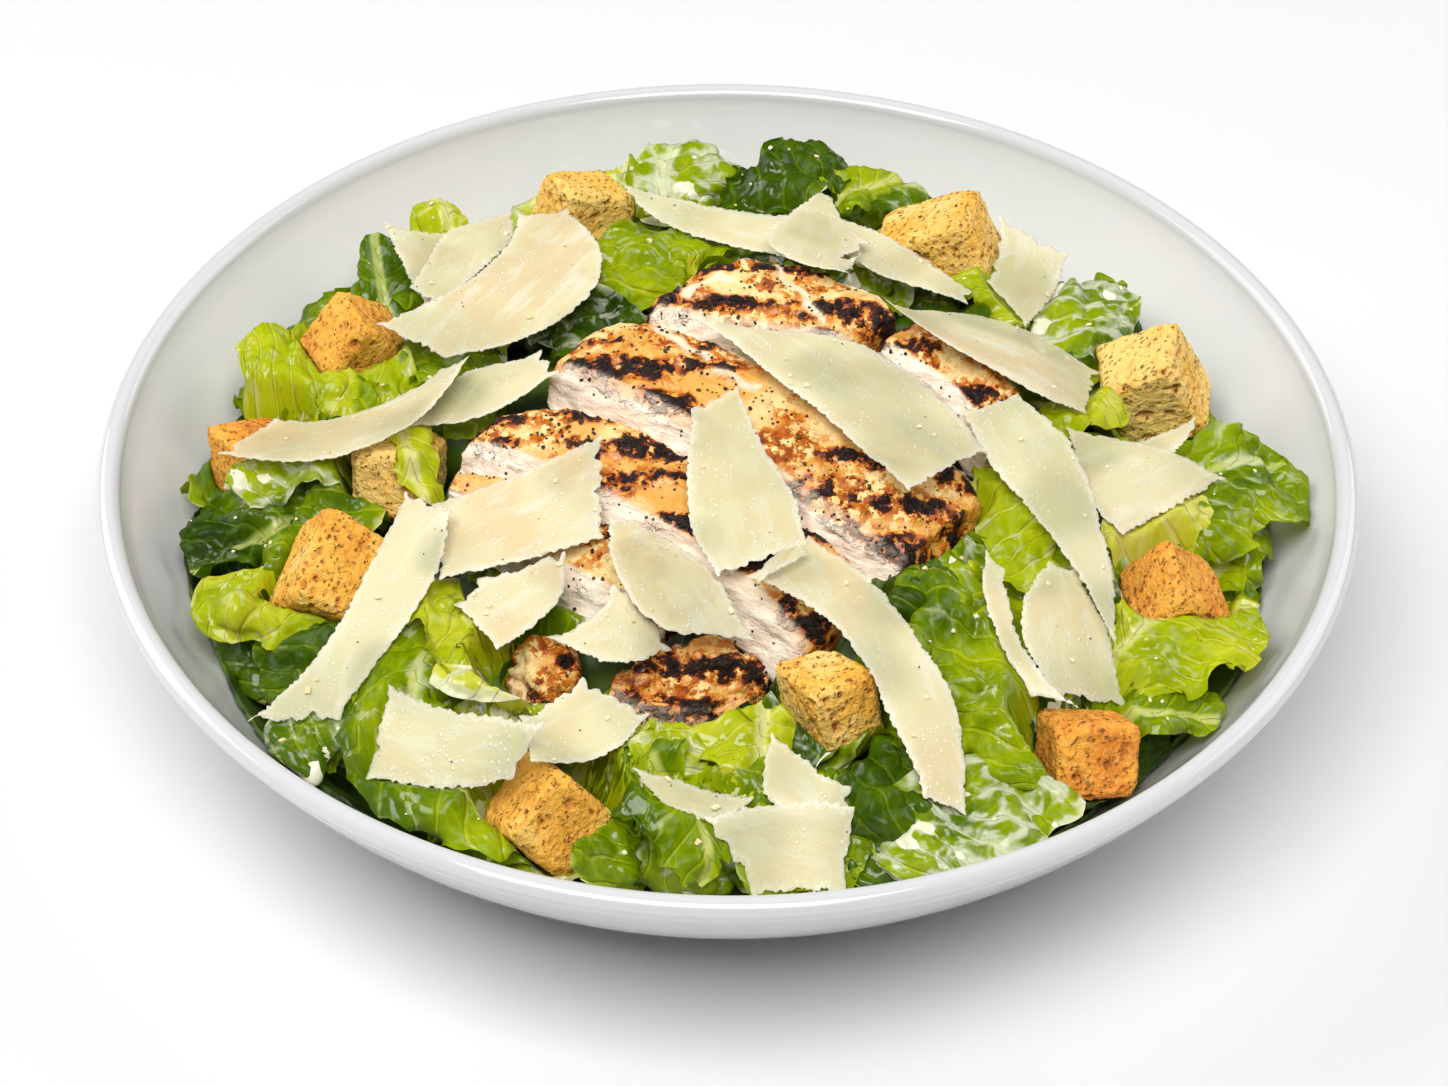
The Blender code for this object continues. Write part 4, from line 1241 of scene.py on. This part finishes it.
def makeDressing(leaves):
    # pools of it that lie on the wettest leaves, as one piece
    made, root, shader = newMaterial("caesar_dressing", IOR=1.45, Coat_Weight=0.6, Coat_Roughness=0.1)
    place = root.coordinates()
    cloud = root.noise(place, 160.0, 3.0)
    fine = root.noise(place, 900.0, 2.0)
    base = root.mix(cloud.fade(0.35, 0.65), *sauce["cream"])
    fleck = root.dots(place, 420.0)
    base = root.mix((1 - fleck.fade(0.06, 0.1)) * 0.6, base, sauce["fleck"])
    connect(shader, Base_Color=base, Roughness=0.3 - 0.1 * cloud,
            Normal=bumped(root, cloud + 0.3 * fine, 0.0003))
    points, faces, start = [], [], 0
    for leaf in leaves:
        if leaf["wet"].any():
            used, corners = np.unique(leaf["faces"][leaf["wet"]], return_inverse=True)
            points.append(leaf["wetPoints"][used])
            faces.append(corners.reshape(-1, 4) + start)
            start += len(used)
    piece = newPiece("caesar_dressing", np.vstack(points) * mm, np.vstack(faces), made)
    settle(piece, "dressing")
    print("dressing", 2 * len(piece.data.polygons), "triangles")


def fillLeaves(limits):
    # leaves strewn over the heap, under the placed ones
    rng = np.random.default_rng(fill["seed"])
    made = []
    for ring, count in fill["rings"]:
        start = rng.uniform(0, math.tau)
        for k in range(count):
            angle = start + math.tau * (k + rng.uniform(-0.3, 0.3)) / count
            radius = ring + rng.uniform(-6, 6)
            spot = np.array((radius * math.cos(angle), radius * math.sin(angle)))
            length, width = rng.uniform(*fill["length"]), rng.uniform(*fill["width"])
            heading = angle + rng.uniform(-fill["turn"], fill["turn"])
            ahead = np.array((math.cos(heading), math.sin(heading)))
            ends = [spot - ahead * length / 2, spot + ahead * length / 2]
            reach = fill["reach"] - 0.25 * width
            ends = [e * min(1, reach / np.hypot(*e)) for e in ends]
            heights = [heapHeight(np.hypot(*e)) - rng.uniform(*fill["under"]) for e in ends]
            tone = float(np.clip(rng.choice(fill["tones"]) + rng.uniform(-0.08, 0.08), 0, 1))
            rise, roll, droop, ruffle = (rng.uniform(*fill[k]) for k in ("rise", "roll", "droop", "ruffle"))
            dressing = rng.choice(fill["dressing"])
            if all(readMap(limits["meat"], *(e.reshape(2, 1)))[0] < 150 for e in (spot, *ends)):
                continue        # it would lie wholly under the meat
            base, tip = ((*end, height) for end, height in zip(ends, heights))
            made.append(growLeaf(seeds["strewnLeaf"] + 31 * len(made), limits, lettuce["coarseGrid"], None,
                                 base, tip, width, rise, roll, droop, ruffle, 0.0, tone, dressing))
    return made


def stacked(leaves):
    # the leaves' points in one table, and their faces renumbered for it
    starts = np.cumsum([0] + [len(leaf["points"]) for leaf in leaves])
    points = np.vstack([leaf["points"] for leaf in leaves])
    return points, np.vstack([leaf["faces"] + start for leaf, start in zip(leaves, starts)])


def joinLeaves(name, leaves, material, *stoodFor):
    points, faces = stacked(leaves)
    piece = newPiece(name, points * mm, faces, material)
    fields = [key for key in leaves[0] if key.startswith("leaf")]
    store(piece, **{key: np.concatenate([leaf[key] for leaf in leaves]) for key in fields})
    settle(piece, "leaf", *stoodFor)
    print(name, len(leaves), "leaves,", 2 * len(faces), "triangles")


def makeLeaves():
    limits = {"meat": limitMap(named("chicken_"), *clearances["meat"]),
              "cheese": limitMap(named("shaving_"), *clearances["cheese"])}
    for name in named("crouton_"):
        limits[name] = limitMap([name], *clearances["bread"])
    leaves = []
    for k, (name, values) in enumerate(featureLeaves.items()):
        seed, over = seeds["placedLeaf"] + 23 * k, overToppings.get(name)
        leaves.append(growLeaf(seed, limits, lettuce["grid"], over, *values))
    leaves += fillLeaves(limits)
    for name, (low, high, glow) in leafLooks.items():
        chosen = [leaf for leaf in leaves if low <= leaf["tone"] < high]
        joinLeaves("romaine_" + name, chosen, leafMaterial(name, glow), "lettuce")
    return leaves


seasonings = {
    # on what, how many, size from and to, flatness, colours, slot
    "pepper_grains": ("chicken", 560, 0.5, 1.1, 0.75, (colour(34, 24, 16), colour(92, 58, 30)), "seasoning"),
    "pepper_dust": ("cheese", 46, 0.35, 0.6, 0.7, (colour(60, 44, 28), colour(140, 100, 56)), "seasoning"),
    "herb_flecks": ("bread", 70, 0.5, 1.1, 0.3, (colour(128, 74, 20), colour(110, 112, 40)), "seasoning"),
    "cheese_crumbs": ("all", 170, 0.6, 1.7, 0.6, (colour(248, 240, 208), colour(232, 214, 160)), "cheese"),
}


foodReach = 0.112           # how far from the middle grains fall


def scatter(name, seed, under, count, small, large, flatness, shades, slot):
    # uneven grains dropped from above, kept where they land on the right food
    made, root, shader = newMaterial(name, IOR=1.45, Roughness=0.5)
    place = root.coordinates()
    tint = root.noise(place, 260.0, 2.0).fade(0.38, 0.62)
    fine = root.noise(place, 2400.0, 2.0)
    connect(shader, Base_Color=root.mix(tint, *shades), Normal=bumped(root, fine, 0.0002))
    bm = bmesh.new()
    bmesh.ops.create_icosphere(bm, subdivisions=1, radius=0.5)
    ball = np.array([v.co for v in bm.verts])
    sides = np.array([[v.index for v in f.verts] for f in bm.faces])
    bm.free()
    rng = np.random.default_rng(seed)
    points, faces = [], []
    for _ in range(40 * count):
        if len(faces) == count:
            break
        x, y = rng.uniform(-foodReach, foodReach, 2)
        hits = [(meets(tree, x, y, aboveAll, -1), kind) for kind, tree in under["trees"].items()]
        hits = [(hit, kind) for hit, kind in hits if hit[0] is not None]
        if not hits:
            continue
        hit, kind = max(hits, key=lambda h: h[0][0].z)
        if kind not in under["on"] or hit[1].z < 0.5:
            continue
        size = rng.uniform(small, large) * (0.55 + 0.45 * rng.uniform())
        shape = ball * rng.uniform(0.7, 1.3, (len(ball), 1)) * rng.uniform(0.7, 1.3, 3) * (1, 1, flatness)
        spin = Euler((0, 0, rng.uniform(0, 6))).to_matrix()
        turn = np.array(hit[1].to_track_quat("Z", "Y").to_matrix() @ spin)
        faces.append(sides + len(ball) * len(faces))
        points.append(shape @ turn.T * size + np.array(hit[0]) / mm + np.array(hit[1]) * 0.2 * size)
    piece = newPiece(name, np.vstack(points) * mm, np.vstack(faces), made)
    piece.data.shade_flat()
    settle(piece, slot)
    print(name, len(faces))


def makeSeasonings(leaves):
    points, faces = stacked(leaves)
    trees = {
        "chicken": surfaceTree(slices),
        "cheese": surfaceTree(shavings),
        "bread": surfaceTree(croutons),
        "leaf": BVHTree.FromPolygons((points * mm).tolist(), faces.tolist()),
    }
    for k, (name, (on, *values)) in enumerate(seasonings.items()):
        under = {"trees": trees, "on": ("cheese", "leaf") if on == "all" else (on,)}
        scatter(name, seeds["grains"] + k, under, *values)


table = {"size": 6.0, "shades": (colour(222, 222, 222), colour(225, 225, 225))}


def makeTable():
    made, root, shader = newMaterial("table_top", Roughness=0.6)
    connect(shader, Base_Color=root.mix(root.noise(root.coordinates(), 3.0, 2.0), *table["shades"]))
    half = table["size"] / 2
    corners = [(-half, -half, 0), (half, -half, 0), (half, half, 0), (-half, half, 0)]
    newPiece("table_top", corners, [(0, 1, 2, 3)], made)


def makeEach(kind, start, maker, material, seedStep):
    # one piece for each node of a kind
    made = [maker(name, seeds[kind] + seedStep * k, material) for k, name in enumerate(named(start))]
    print(kind, sum(len(piece.data.polygons) for piece in made), "faces")
    return made


bpy.context.scene.view_settings.view_transform = "Standard"
placeCamera()
placeLights()
makeTable()
print("camera, lights and table")
makeBowl()
shavings = makeEach("cheese", "shaving_", makeShaving, cheeseMaterial(), 1)
croutons = makeEach("bread", "crouton_", makeCrouton, croutonMaterial(), 10)
slices = makeEach("meat", "chicken_", makeSlice, chickenMaterial(), 20)
makeCore()
leaves = makeLeaves()
makeDressing(leaves)
makeSeasonings(leaves)
